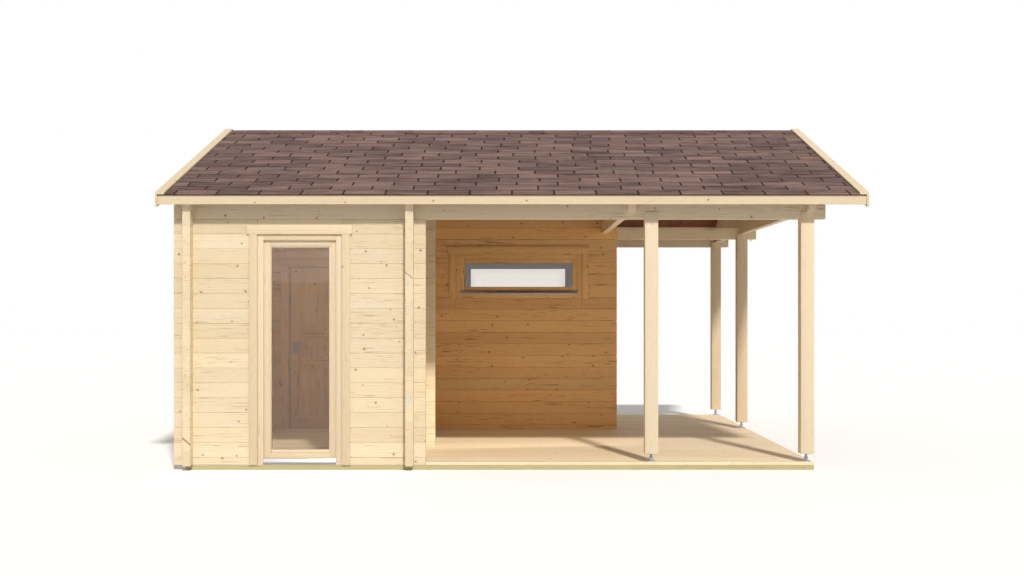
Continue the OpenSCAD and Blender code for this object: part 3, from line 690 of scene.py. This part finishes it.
def shinglePieces():
    s = roofSettings
    for side, node in ((-1, "shingles_front"), (1, "shingles_back")):
        length = eaveY / math.cos(pitch)
        rows = math.ceil(length / s["exposure"])
        sheet = slopeBoard(-trimX, trimX, side, 0, eaveY, s["tabT"] * 1.35, shingleT, 0)
        # the under-sheet carries the near-black painted shade
        sheet.data.materials.append(shingleShadowSheet)
        setTone(sheet, 0.5)
        tabs = [sheet]
        master = addBlock((0, 0, 0), (1, s["exposure"] + s["overlap"], s["tabT"]))
        lean = math.atan((s["tabT"]) / (s["exposure"] + s["overlap"]))
        master.data.transform(Matrix.Rotation(-lean, 4, "X"))
        top = max(v.co.z for v in master.data.vertices)
        master.data.transform(Matrix.Translation((0, 0, -top - 0.0003)))
        master.data.materials.append(shingleFace)
        starter = 0.0
        for row in range(rows):
            starter = (starter + s["tabW"] * dice.uniform(0.36, 0.6)) % s["tabW"]
            x = -trimX - starter
            while x < trimX:
                wide = s["tabW"]
                left, right = max(x, -trimX), min(x + wide - s["slot"], trimX)
                if right - left > 0.02:
                    tab = copyOf(master, (left, row * s["exposure"], 0), (right - left, 1, 1))
                    tabs.append(setTone(tab, dice.random()))
                x += wide
        field = join(tabs[1:], "tabs")
        # the rows are laid flat from the eave up, then turned on to the slope
        turn = Matrix.Rotation(pitch, 4, "X") if side < 0 else (
            Matrix.Rotation(-pitch, 4, "X") @ Matrix.Rotation(math.pi, 4, "Z"))
        field.data.transform(Matrix.Translation((0, side * eaveY, ridgeTop - eaveY * slope)) @ turn)
        cutAway(field, (0, 0, 0), (0, -side, 0))
        cutAway(field, (0, side * eaveY, 0), (0, side, 0))
        remove(master)
        roofing = join([sheet, field], node.replace("shingles", "shingle_rows"))
        finishPiece(roofing, shingleFace, "shingles", "root", node)


def ridgeCapPiece():
    s = roofSettings
    left, right = lo["ridge_cap"].x, hi["ridge_cap"].x
    reach = hi["ridge_cap"].y
    count = round((right - left) / s["capExposure"])
    step = (right - left) / count
    caps = []
    for i in range(count):
        tone = dice.random()
        for side in (-1, 1):
            wing = slopeBoard(0, step + 0.0001, side, 0, reach, -0.0036, -0.0008, 0)
            wing.data.transform(Matrix.Translation((left + i * step, 0, 0)))
            for v in wing.data.vertices:
                if v.co.x < left + i * step + 0.01:      # each cap dips under the one before it
                    v.co.z -= 0.0008
            caps.append(setTone(wing, tone))
    finishPiece(join(caps, "ridge_caps"), shingleFace, "shingles", "root", "ridge_cap")


def roofTimberPieces():
    for node in ("ridge_beam", "purlins"):
        beams = []
        for low, high in islandBoxes(node):
            beam = soften(addBlock(low, high + Vector((0, 0, 0.05))), 0.003)
            cutAtRoof(beam)
            beams.append(setTone(beam, dice.random()))
        # ridge beam and purlins take the painted-shade roof wood
        finishPiece(join(beams, node + "_timber"), shadedRoofWood["X"], "roof_timber", "root", node)


def trimPieces():
    boards = []
    for low, high in islandBoxes("fascias"):
        board = soften(addBlock(low, high + Vector((0, 0, 0.05))), 0.002)
        cutAtRoof(board, ridgeTop - shingleT / math.cos(pitch) - 0.0002)
        boards.append(setTone(board, dice.random()))
    finishPiece(join(boards, "eave_fascias"), trim["X"], "trim_boards", "root", "fascias")
    outer = hi["barge_boards"].x
    barge = (ridgeTop - heightAt("barge_boards", hi["barge_boards"].y, min) - eaveY * slope) * math.cos(pitch)
    cover = (heightAt("cover_boards", hi["cover_boards"].y, max) - ridgeTop + eaveY * slope) * math.cos(pitch)
    coverW = lo["ridge_cap"].x - lo["cover_boards"].x
    half = 0.0002
    verges = [slopeBoard(x, x + outer - trimX, side, half, eaveY, 0.0001, barge)
              for x in (-outer, trimX) for side in (-1, 1)]
    covers = [slopeBoard(x, x + coverW, side, half, eaveY, -cover, 0, 0.003)
              for x in (-outer, outer - coverW) for side in (-1, 1)]
    for board in verges + covers:
        setTone(board, dice.random())
    finishPiece(join(verges, "verge_boards"), trim["Y"], "trim_boards", "root", "barge_boards")
    finishPiece(join(covers, "verge_covers"), trim["Y"], "trim_boards", "root", "cover_boards")


roofBoardPieces()
shinglePieces()
ridgeCapPiece()
roofTimberPieces()
trimPieces()
print("roof on")


# boards of doors, windows and casings

def board(low, high, edge=0.0016, tone=None):
    piece = soften(addBlock(low, high), edge)
    return setTone(piece, dice.random() if tone is None else tone)


def grouped(boards, materials, name):
    for axis, piece in boards:
        if axis:      # nails and the like have their own finish already
            piece.data.materials.append(materials[axis])
    return roundOver(join([piece for _, piece in boards], name), 0.5)


def frameBoards(x0, x1, z0, z1, y0, y1, sides, top, bottom, edge=0.0016):
    boards = [("Z", board((x0, y0, z0), (x0 + sides, y1, z1), edge)),
              ("Z", board((x1 - sides, y0, z0), (x1, y1, z1), edge)),
              ("X", board((x0 + sides, y0, z1 - top), (x1 - sides, y1, z1), edge))]
    if bottom:
        boards.append(("X", board((x0 + sides, y0, z0), (x1 - sides, y1, z0 + bottom), edge)))
    return boards


def nailRow(x, z0, z1, y, face, count=4):
    heads = []
    for i in range(count):
        z = z0 + (z1 - z0) * (i + 0.5) / count
        heads.append(addRod((x, y, z), (x, y + face * 0.0006, z), 0.003, 12))
    return heads


def casingBoards(x0, x1, z0, z1, sideW, topH, y0, y1, ear=0.02):
    return [("Z", board((x0 - sideW, y0, z0), (x0, y1, z1), 0.0025)),
            ("Z", board((x1, y0, z0), (x1 + sideW, y1, z1), 0.0025)),
            ("X", board((x0 - sideW - ear, y0, z1), (x1 + sideW + ear, y1, z1 + topH), 0.0025))]


def doubleGlass(low, high, name, slotBody, node=None, out=-1):
    # two sheets with a bright spacer bar between them, the inner one without gloss
    sheets = []
    sheetT = 0.004
    for y in (low.y, high.y - sheetT):
        sheet = soften(addBlock((low.x, y, low.z), (high.x, y + sheetT, high.z)), 0.0004, 1)
        sheet.data.materials.append(clearPane if (y == low.y) == (out < 0) else coatedPane)
        sheets.append(sheet)
    glass = join(sheets, name)
    finishPiece(glass, clearPane, "pane", slotBody, *([node] if node else []))
    bar = 0.012
    boards = frameBoards(low.x + 0.002, high.x - 0.002, low.z + 0.002, high.z - 0.002,
                         low.y + sheetT, high.y - sheetT, bar, bar, bar, 0.0005)
    for _, piece in boards:
        piece.data.materials.append(aluminium)
    spacer = join([piece for _, piece in boards], name + "_spacer")
    finishPiece(spacer, aluminium, "aluminium_rail", slotBody)
    return glass


def beads(low, high, yFront, yBack, width, bottom, rise=0.004):
    boards = []
    for y0, y1 in ((yFront + rise, low.y), (high.y, yBack - rise)):
        boards += frameBoards(low.x, high.x, low.z, high.z, y0, y1, width, width, bottom, 0.003)
    return boards


hingeSettings = {"radius": 0.008, "half": 0.045, "gap": 0.0008}    # one half of a barrel, and its seat


def hingeBarrels(place, heights):
    # the upper halves turn with the leaf, and the lower ones are the pins' own piece
    s = hingeSettings
    barrels = []
    for z in heights:
        low, high = z + s["half"] + s["gap"], z + 2 * s["half"]
        barrel = soften(addRod((place.x, place.y, low), (place.x, place.y, high), s["radius"], 28), 0.0012)
        barrel.data.materials.append(satinMetal)
        barrels.append(barrel)
    return barrels


doorSettings = {
    "bead": 0.013, "bottomBead": 0.030, "stile": 0.063,
    "frameFace": 0.054, "frameBack": 0.037,      # the frame's face, and its face behind the lip
    "leafGap": 0.005, "swingGap": 0.009,
    "casingW": 0.074, "casingTop": 0.084, "casingT": 0.018,
    "trimW": 0.06, "trimLap": 0.014,             # the trim inside the room
    "hingeLow": 0.18, "hingeHigh": 0.27, "nails": 6,
}


def glazedDoor():
    d = doorSettings
    low, high = lo["glazed_door_frame"], hi["glazed_door_frame"]
    leafY0 = lo["glazed_door_leaf"].y
    lip = leafY0 - low.y - d["leafGap"]
    boards = frameBoards(low.x, high.x, low.z, high.z, low.y, low.y + lip,
                         d["frameFace"], d["frameFace"], d["frameFace"], 0.0025)
    boards += frameBoards(low.x, high.x, low.z, high.z, low.y + lip, high.y,
                          d["frameBack"], d["frameBack"], d["frameBack"])
    finishPiece(grouped(boards, trim, "glazed_frame"), trim["Z"], "joinery", "root", "glazed_door_frame")
    x0, x1 = low.x + d["frameBack"] + d["swingGap"], high.x - d["frameBack"] - d["leafGap"]
    z0, z1 = lo["glazed_door_leaf"].z, hi["glazed_door_leaf"].z
    boards = frameBoards(x0, x1, z0, z1, leafY0, high.y, d["stile"], d["stile"], d["stile"], 0.002)
    paneLow, paneHigh = lo["glazed_door_pane"], hi["glazed_door_pane"]
    boards += beads(paneLow, paneHigh, leafY0, high.y, d["bead"], d["bottomBead"])
    heights = [z0 + d["hingeLow"], (z0 + z1) / 2, z1 - d["hingeHigh"]]
    leaf = grouped(boards, trim, "glazed_leaf")
    leaf = join([leaf] + hingeBarrels(hinge["glazed_door_hinge"], heights), "glazed_leaf")
    finishPiece(leaf, trim["Z"], "joinery", "glazed_door", "glazed_door_leaf")
    inset = Vector((0.001, 0, 0.001))
    doubleGlass(paneLow + inset, paneHigh - inset, "glazed_unit", "glazed_door", "glazed_door_pane")
    face = low.y - d["casingT"]
    boards = casingBoards(low.x, high.x, low.z, high.z, d["casingW"], d["casingTop"], face, low.y)
    back = d["frameBack"] - d["trimLap"]
    boards += casingBoards(low.x + back, high.x - back, floorZ, high.z - back, d["trimW"], d["trimW"],
                           high.y, high.y + d["casingT"])
    for x in (low.x - d["casingW"] / 2, high.x + d["casingW"] / 2):
        for head in nailRow(x, low.z + 0.1, high.z, face, -1, d["nails"]):
            head.data.materials.append(galvanised)
            boards.append((None, head))
    finishPiece(grouped(boards, trim, "glazed_casing"), trim["Z"], "trim_boards", "root",
                "glazed_door_casing")


handleSettings = {      # the glazed door's turn handle
    "neckDrop": 0.045, "neckR": 0.008, "plateT": 0.01, "plateRise": 0.08,
    "gripHalf": 0.01, "gripT": 0.014,
}
leverSettings = {       # the inner door's plates and levers
    "plateT": 0.008, "keyDrop": 0.072, "keyR": 0.0085, "screwR": 0.004, "screwIn": 0.012,
    "spindleR": 0.005, "gripR": 0.0068, "roseR": 0.0088, "reach": 0.007,
}


def metalWork():
    s = handleSettings
    low, high = lo["glazed_door_handle"], hi["glazed_door_handle"]
    x = (low.x + high.x) / 2
    z = high.z - s["neckDrop"]
    half, thick = s["gripHalf"], s["gripT"]
    plate = soften(addBlock((low.x, low.y, low.z + s["plateRise"]),
                            (high.x, low.y + s["plateT"], high.z)), 0.004, 4)
    grip = soften(addBlock((x - half, high.y - thick, low.z), (x + half, high.y, z + half)), 0.005, 4)
    neck = addRod((x, low.y, z), (x, high.y - thick / 2, z), s["neckR"], 32)
    handle = roundOver(join([plate, grip, neck], "glazed_turn_handle"))
    finishPiece(handle, satinMetal, "door_metal", "glazed_door", "glazed_door_handle")

    s = leverSettings
    low, high = lo["inner_door_plates"], hi["inner_door_plates"]
    spindle = hinge["inner_lever_turn"]
    x, z = spindle.x, spindle.z
    plates = []
    for out, y0, y1 in ((-1, low.y, low.y + s["plateT"]), (1, high.y - s["plateT"], high.y)):
        plates.append(soften(addBlock((low.x, y0, low.z), (high.x, y1, high.z)), 0.003, 4))
        face = y0 if out < 0 else y1
        sunk = face - out * 0.002
        keyZ = z - s["keyDrop"]
        plates.append(addRod((x, sunk, keyZ), (x, face + out * 0.0004, keyZ), s["keyR"], 28))
        for screwZ in (low.z + s["screwIn"], high.z - s["screwIn"]):
            screw = addRod((x, sunk, screwZ), (x, face + out * 0.0006, screwZ), s["screwR"], 16)
            plates.append(soften(screw, 0.0003, 1))
    finishPiece(roundOver(join(plates, "inner_lock_plates")), satinMetal, "door_metal", "inner_door",
                "inner_door_plates")

    low, high = lo["inner_door_lever"], hi["inner_door_lever"]
    reach = s["reach"]
    parts = [addRod((x, low.y + reach, z), (x, high.y - reach, z), s["spindleR"], 32)]
    for y in (low.y + reach, high.y - reach):
        grip = addRod((x, y, z), (high.x - 0.0005, y, z), s["gripR"], 32)
        parts.append(soften(grip, 0.004, 4))
        parts.append(soften(addRod((x, y - reach, z), (x, y + reach, z), s["roseR"], 32), 0.002, 3))
    finishPiece(roundOver(join(parts, "inner_lever_pair")), satinMetal, "door_metal", "inner_lever",
                "inner_door_lever")


innerSettings = {
    "face": 0.045, "stop": 0.02, "swingStop": 0.015, "hingeStop": 0.013,
    "casingW": 0.09, "casingT": 0.018, "casingLap": 0.03,
    "stile": 0.119, "rail": 0.125, "middle": 0.231, "upper": 0.555,
    "panelHalf": 0.008, "panelBoards": 6, "moulding": 0.011,
    "hingeLow": 0.2, "hingeHigh": 0.29,
}


def innerDoor():
    d = innerSettings
    low, high = lo["inner_door_frame"], hi["inner_door_frame"]
    face, stop = d["face"], d["stop"]
    boards = frameBoards(low.x, high.x, low.z, high.z, low.y, high.y - stop, face, face, 0.0)
    boards += frameBoards(low.x, high.x, low.z, high.z, high.y - stop, high.y,
                          face + d["swingStop"], face + d["hingeStop"], 0.0)
    boards.append(("X", board((low.x + face, low.y, low.z), (high.x - face, high.y, floorZ))))
    # the inner door's frame, casings and leaf take the painted-shade wood
    finishPiece(grouped(boards, shadedLogWood, "inner_frame"), shadedLogWood["Z"], "joinery", "root", "inner_door_frame")
    back = d["casingLap"]
    boards = []
    for y0 in (low.y - d["casingT"], high.y):
        boards += casingBoards(low.x + back, high.x - back, floorZ, high.z - back,
                               d["casingW"], d["casingW"], y0, y0 + d["casingT"])
    finishPiece(grouped(boards, shadedLogWood, "inner_casing"), shadedLogWood["Z"], "trim_boards", "root",
                "inner_door_casing")

    y0, y1 = low.y, hi["inner_door_leaf"].y
    x0 = lo["inner_door_leaf"].x
    x1 = hinge["inner_door_hinge"].x - 0.0025
    z0, z1 = lo["inner_door_leaf"].z, hi["inner_door_leaf"].z
    stile, rail, middle, upper = d["stile"], d["rail"], d["middle"], d["upper"]
    boards = [("Z", board((x0, y0, z0), (x0 + stile, y1, z1))),
              ("Z", board((x1 - stile, y0, z0), (x1, y1, z1)))]
    tops = [z1 - stile, z1 - stile - upper - rail, z1 - stile - upper - rail - middle - rail]
    bottoms = [z1 - stile - upper, z1 - stile - upper - rail - middle, z0 + rail]
    rails = [(z1 - stile, z1), (tops[1], bottoms[0]), (tops[2], bottoms[1]), (z0, bottoms[2])]
    boards += [("X", board((x0 + stile, y0, a), (x1 - stile, y1, b))) for a, b in rails]
    mid = (y0 + y1) / 2
    for top, bottom in zip(tops, bottoms):
        half, moulding = d["panelHalf"], d["moulding"]
        step = (x1 - x0 - 2 * stile) / d["panelBoards"]
        for i in range(d["panelBoards"]):
            boards.append(("Z", board((x0 + stile + i * step, mid - half, bottom),
                                      (x0 + stile + (i + 1) * step, mid + half, top), 0.003)))
        for ya, yb in ((y0 + 0.002, mid - half), (mid + half, y1 - 0.002)):
            boards += frameBoards(x0 + stile, x1 - stile, bottom, top, ya, yb,
                                  moulding, moulding, moulding, 0.004)
    leaf = grouped(boards, shadedLogWood, "inner_leaf")
    heights = [z0 + d["hingeLow"], z1 - d["hingeHigh"]]
    leaf = join([leaf] + hingeBarrels(hinge["inner_door_hinge"], heights), "inner_leaf")
    finishPiece(leaf, shadedLogWood["Z"], "joinery", "inner_door", "inner_door_leaf")


windowSettings = {
    "face": 0.051, "sash": 0.052, "setBack": 0.008,      # the sash stands behind the frame's face
    "bead": 0.011, "bottomBead": 0.03, "glassHalf": 0.012,
    "casingW": 0.068, "casingTop": 0.084, "casingT": 0.018,
}


def windowUnit(node, out, frameWood, casingWood, glass):
    low, high = lo[node + "_frame"], hi[node + "_frame"]
    d = windowSettings
    face, sash, setBack = d["face"], d["sash"], d["setBack"]
    boards = frameBoards(low.x, high.x, low.z, high.z, low.y, high.y, face, face, face, 0.0025)
    boards += frameBoards(low.x + face, high.x - face, low.z + face, high.z - face,
                          low.y + setBack, high.y - setBack, sash, sash, sash, 0.002)
    inner = Vector((face + sash, 0, face + sash))
    middle = (low.y + high.y) / 2
    paneLow = Vector((low.x + inner.x, middle - d["glassHalf"], low.z + inner.z))
    paneHigh = Vector((high.x - inner.x, middle + d["glassHalf"], high.z - inner.z))
    boards += beads(paneLow, paneHigh, low.y + setBack, high.y - setBack, d["bead"], d["bottomBead"])
    finishPiece(grouped(boards, frameWood, node + "_joinery"), frameWood["X"], "joinery", "root",
                node + "_frame")
    inset = Vector((0.001, 0, 0.001))
    doubleGlass(paneLow + inset, paneHigh - inset, node + "_unit", "root", glass, out)
    y0, y1 = (low.y - d["casingT"], low.y) if out < 0 else (high.y, high.y + d["casingT"])
    boards = casingBoards(low.x, high.x, low.z, high.z, d["casingW"], d["casingTop"], y0, y1)
    finishPiece(grouped(boards, casingWood, node + "_trim"), casingWood["X"], "trim_boards", "root",
                node + "_casing")


def dripRail(x0, x1, faceY, out, z0, height, depth=0.016):
    # the nose is a bar; the slope above it is extruded, and its front edge pulled back
    nose = faceY + out * depth
    noseTop = z0 + height / 4
    piece = addBlock((x0, min(faceY, nose), z0), (x1, max(faceY, nose), noseTop))
    makeActive(piece)
    bpy.ops.object.mode_set(mode="EDIT")
    bpy.ops.mesh.select_mode(type="FACE")
    bpy.ops.mesh.select_all(action="DESELECT")
    bpy.ops.object.mode_set(mode="OBJECT")
    for face in piece.data.polygons:
        face.select = face.normal.z > 0.9
    bpy.ops.object.mode_set(mode="EDIT")
    bpy.ops.mesh.extrude_region_move(TRANSFORM_OT_translate={"value": (0, 0, height * 3 / 4)})
    bpy.ops.mesh.select_mode(type="VERT")
    bpy.ops.mesh.select_all(action="DESELECT")
    bpy.ops.object.mode_set(mode="OBJECT")
    for point in piece.data.vertices:
        point.select = point.co.z > noseTop + 0.001 and abs(point.co.y - nose) < 0.0001
    bpy.ops.object.mode_set(mode="EDIT")
    bpy.ops.transform.translate(value=(0, -out * depth * 2 / 3, 0))
    bpy.ops.object.mode_set(mode="OBJECT")
    return soften(piece, 0.0015, 3)


def dripRails():
    low, high = lo["glazed_door_drip_rail"], hi["glazed_door_drip_rail"]
    rail = dripRail(low.x, high.x, high.y, -1, low.z, high.z - low.z)
    rail.name = "glazed_rail"
    finishPiece(roundOver(rail), aluminium, "aluminium_rail", "root", "glazed_door_drip_rail")
    low, high = lo["window_drip_rails"], hi["window_drip_rails"]
    rails = [dripRail(low.x, high.x, middleY, -1, low.z, high.z - low.z),
             dripRail(low.x, high.x, backY + logT, 1, low.z, high.z - low.z)]
    finishPiece(roundOver(join(rails, "window_rails")), aluminium, "aluminium_rail", "root",
                "window_drip_rails")


glazedDoor()
innerDoor()
metalWork()
# the terrace window's frame and casing take the painted-shade wood
windowUnit("terrace_window", -1, shadedLogWood, shadedLogWood, "window_panes")
windowUnit("back_window", 1, trim, trim, None)
dripRails()
pins = frame["nodes"]["hinge_pins"]
pins.data.materials.clear()
pins.data.materials.append(satinMetal)
print("doors and windows hung")


# floor of the studio, lamps and camera

def studio():
    deselect()
    bpy.ops.mesh.primitive_plane_add(size=90, location=(0, 10, 0))
    ground = bpy.context.object
    ground.name = "studio_floor"
    material, nodes, links, shader = newMaterial("paleFloor")
    shader.inputs["Base Color"].default_value = (0.9, 0.9, 0.9, 1)
    shader.inputs["Roughness"].default_value = 0.95
    w = Wires(nodes, links)
    path = w.put("ShaderNodeLightPath").outputs
    seen = w.sum("MAXIMUM", path["Is Camera Ray"], path["Is Transmission Ray"])
    tint = w.blend(seen, (0.9, 0.9, 0.9, 1), (1.0, 1.0, 1.0, 1))
    links.new(tint, shader.inputs["Base Color"])
    shader.inputs["Emission Color"].default_value = (0.75, 0.9, 1.0, 1)
    links.new(w.span(seen, 0, 1, 0.0, 0.07), shader.inputs["Emission Strength"])   # pale floor turns white
    shader.inputs["Specular IOR Level"].default_value = 0.2
    ground.data.materials.append(material)
    ground.visible_glossy = False

    deselect()     # a dark card far in front, seen only in the panes and on metal
    bpy.ops.mesh.primitive_plane_add(size=1, location=(0, -30, -8.7), rotation=(math.pi / 2, 0, 0))
    card = bpy.context.object
    card.name = "dark_card"
    card.scale = (160, 22, 1)
    settle(card)
    cardPaint, nodes, links, shader = newMaterial("darkCard")
    shader.inputs["Base Color"].default_value = srgb(70, 48, 34)
    shader.inputs["Roughness"].default_value = 1.0
    card.data.materials.append(cardPaint)
    for seen in ("camera", "diffuse", "transmission", "shadow", "volume_scatter"):
        setattr(card, "visible_" + seen, False)

    world = bpy.data.worlds.new("softRoom")
    bpy.context.scene.world = world
    world.use_nodes = True
    w = Wires(world.node_tree.nodes, world.node_tree.links)
    background = world.node_tree.nodes["Background"]
    path = w.put("ShaderNodeLightPath").outputs
    mirrored = w.sum("MAXIMUM", path["Is Glossy Ray"], path["Is Transmission Ray"])
    seen = w.sum("MAXIMUM", path["Is Camera Ray"], mirrored)
    w.links.new(w.blend(seen, (1.0, 0.94, 0.86, 1), (1, 1, 1, 1)), background.inputs["Color"])
    w.links.new(w.span(seen, 0, 1, lampSettings["sky"], 1.0), background.inputs["Strength"])

    deselect()
    bpy.ops.object.light_add(type="SUN")
    sun = bpy.context.object
    sun.name = "softSun"
    swing, drop = math.radians(lampSettings["sunSwing"]), math.radians(lampSettings["sunHeight"])
    beam = Vector((-math.sin(swing) * math.cos(drop), math.cos(swing) * math.cos(drop), -math.sin(drop)))
    sun.rotation_euler = beam.to_track_quat("-Z", "Y").to_euler()
    sun.data.energy = lampSettings["sun"]
    sun.data.angle = math.radians(lampSettings["sunSoftness"])
    sun.data.color = (1.0, 0.985, 0.96)
    softLamp("terraceFill", (0.35, -1.4, 0.4), (0.0, 0.63, 0.75), 2.0, 0.3, lampSettings["terrace"])
    softLamp("roomFill", (-1.9, -1.1, 2.1), (-2.0, 0.9, 0.6), 0.9, 0.9, lampSettings["room"])


def softLamp(name, place, target, wide, high, power):
    deselect()
    bpy.ops.object.light_add(type="AREA", location=place)
    lamp = bpy.context.object
    lamp.name = name
    lamp.rotation_euler = (Vector(target) - Vector(place)).to_track_quat("-Z", "Y").to_euler()
    lamp.data.shape = "RECTANGLE"
    lamp.data.size, lamp.data.size_y = wide, high
    lamp.data.energy = power
    lamp.data.color = (1.0, 0.9, 0.78)
    lamp.visible_camera = lamp.visible_glossy = lamp.visible_transmission = False


lampSettings = {
    "sun": 2.85, "sky": 0.36, "terrace": 4.5, "room": 8,
    "sunSwing": 16, "sunHeight": 44, "sunSoftness": 4,      # degrees
}
cameraSettings = {"distance": 11.125, "eye": 1.439, "lens": 43.46, "rise": 0.0215}


def camera():
    deselect()
    bpy.ops.object.camera_add(location=(0, frontY - cameraSettings["distance"], cameraSettings["eye"]),
                              rotation=(math.pi / 2, 0, 0))
    view = bpy.context.object
    view.data.sensor_width = 36
    view.data.lens = cameraSettings["lens"]
    view.data.shift_y = cameraSettings["rise"]
    view.data.clip_end = 200
    bpy.context.scene.camera = view


studio()
camera()
bpy.context.scene.view_settings.view_transform = "Standard"
for master in logAlong.values():
    remove(master)
print("scene ready")
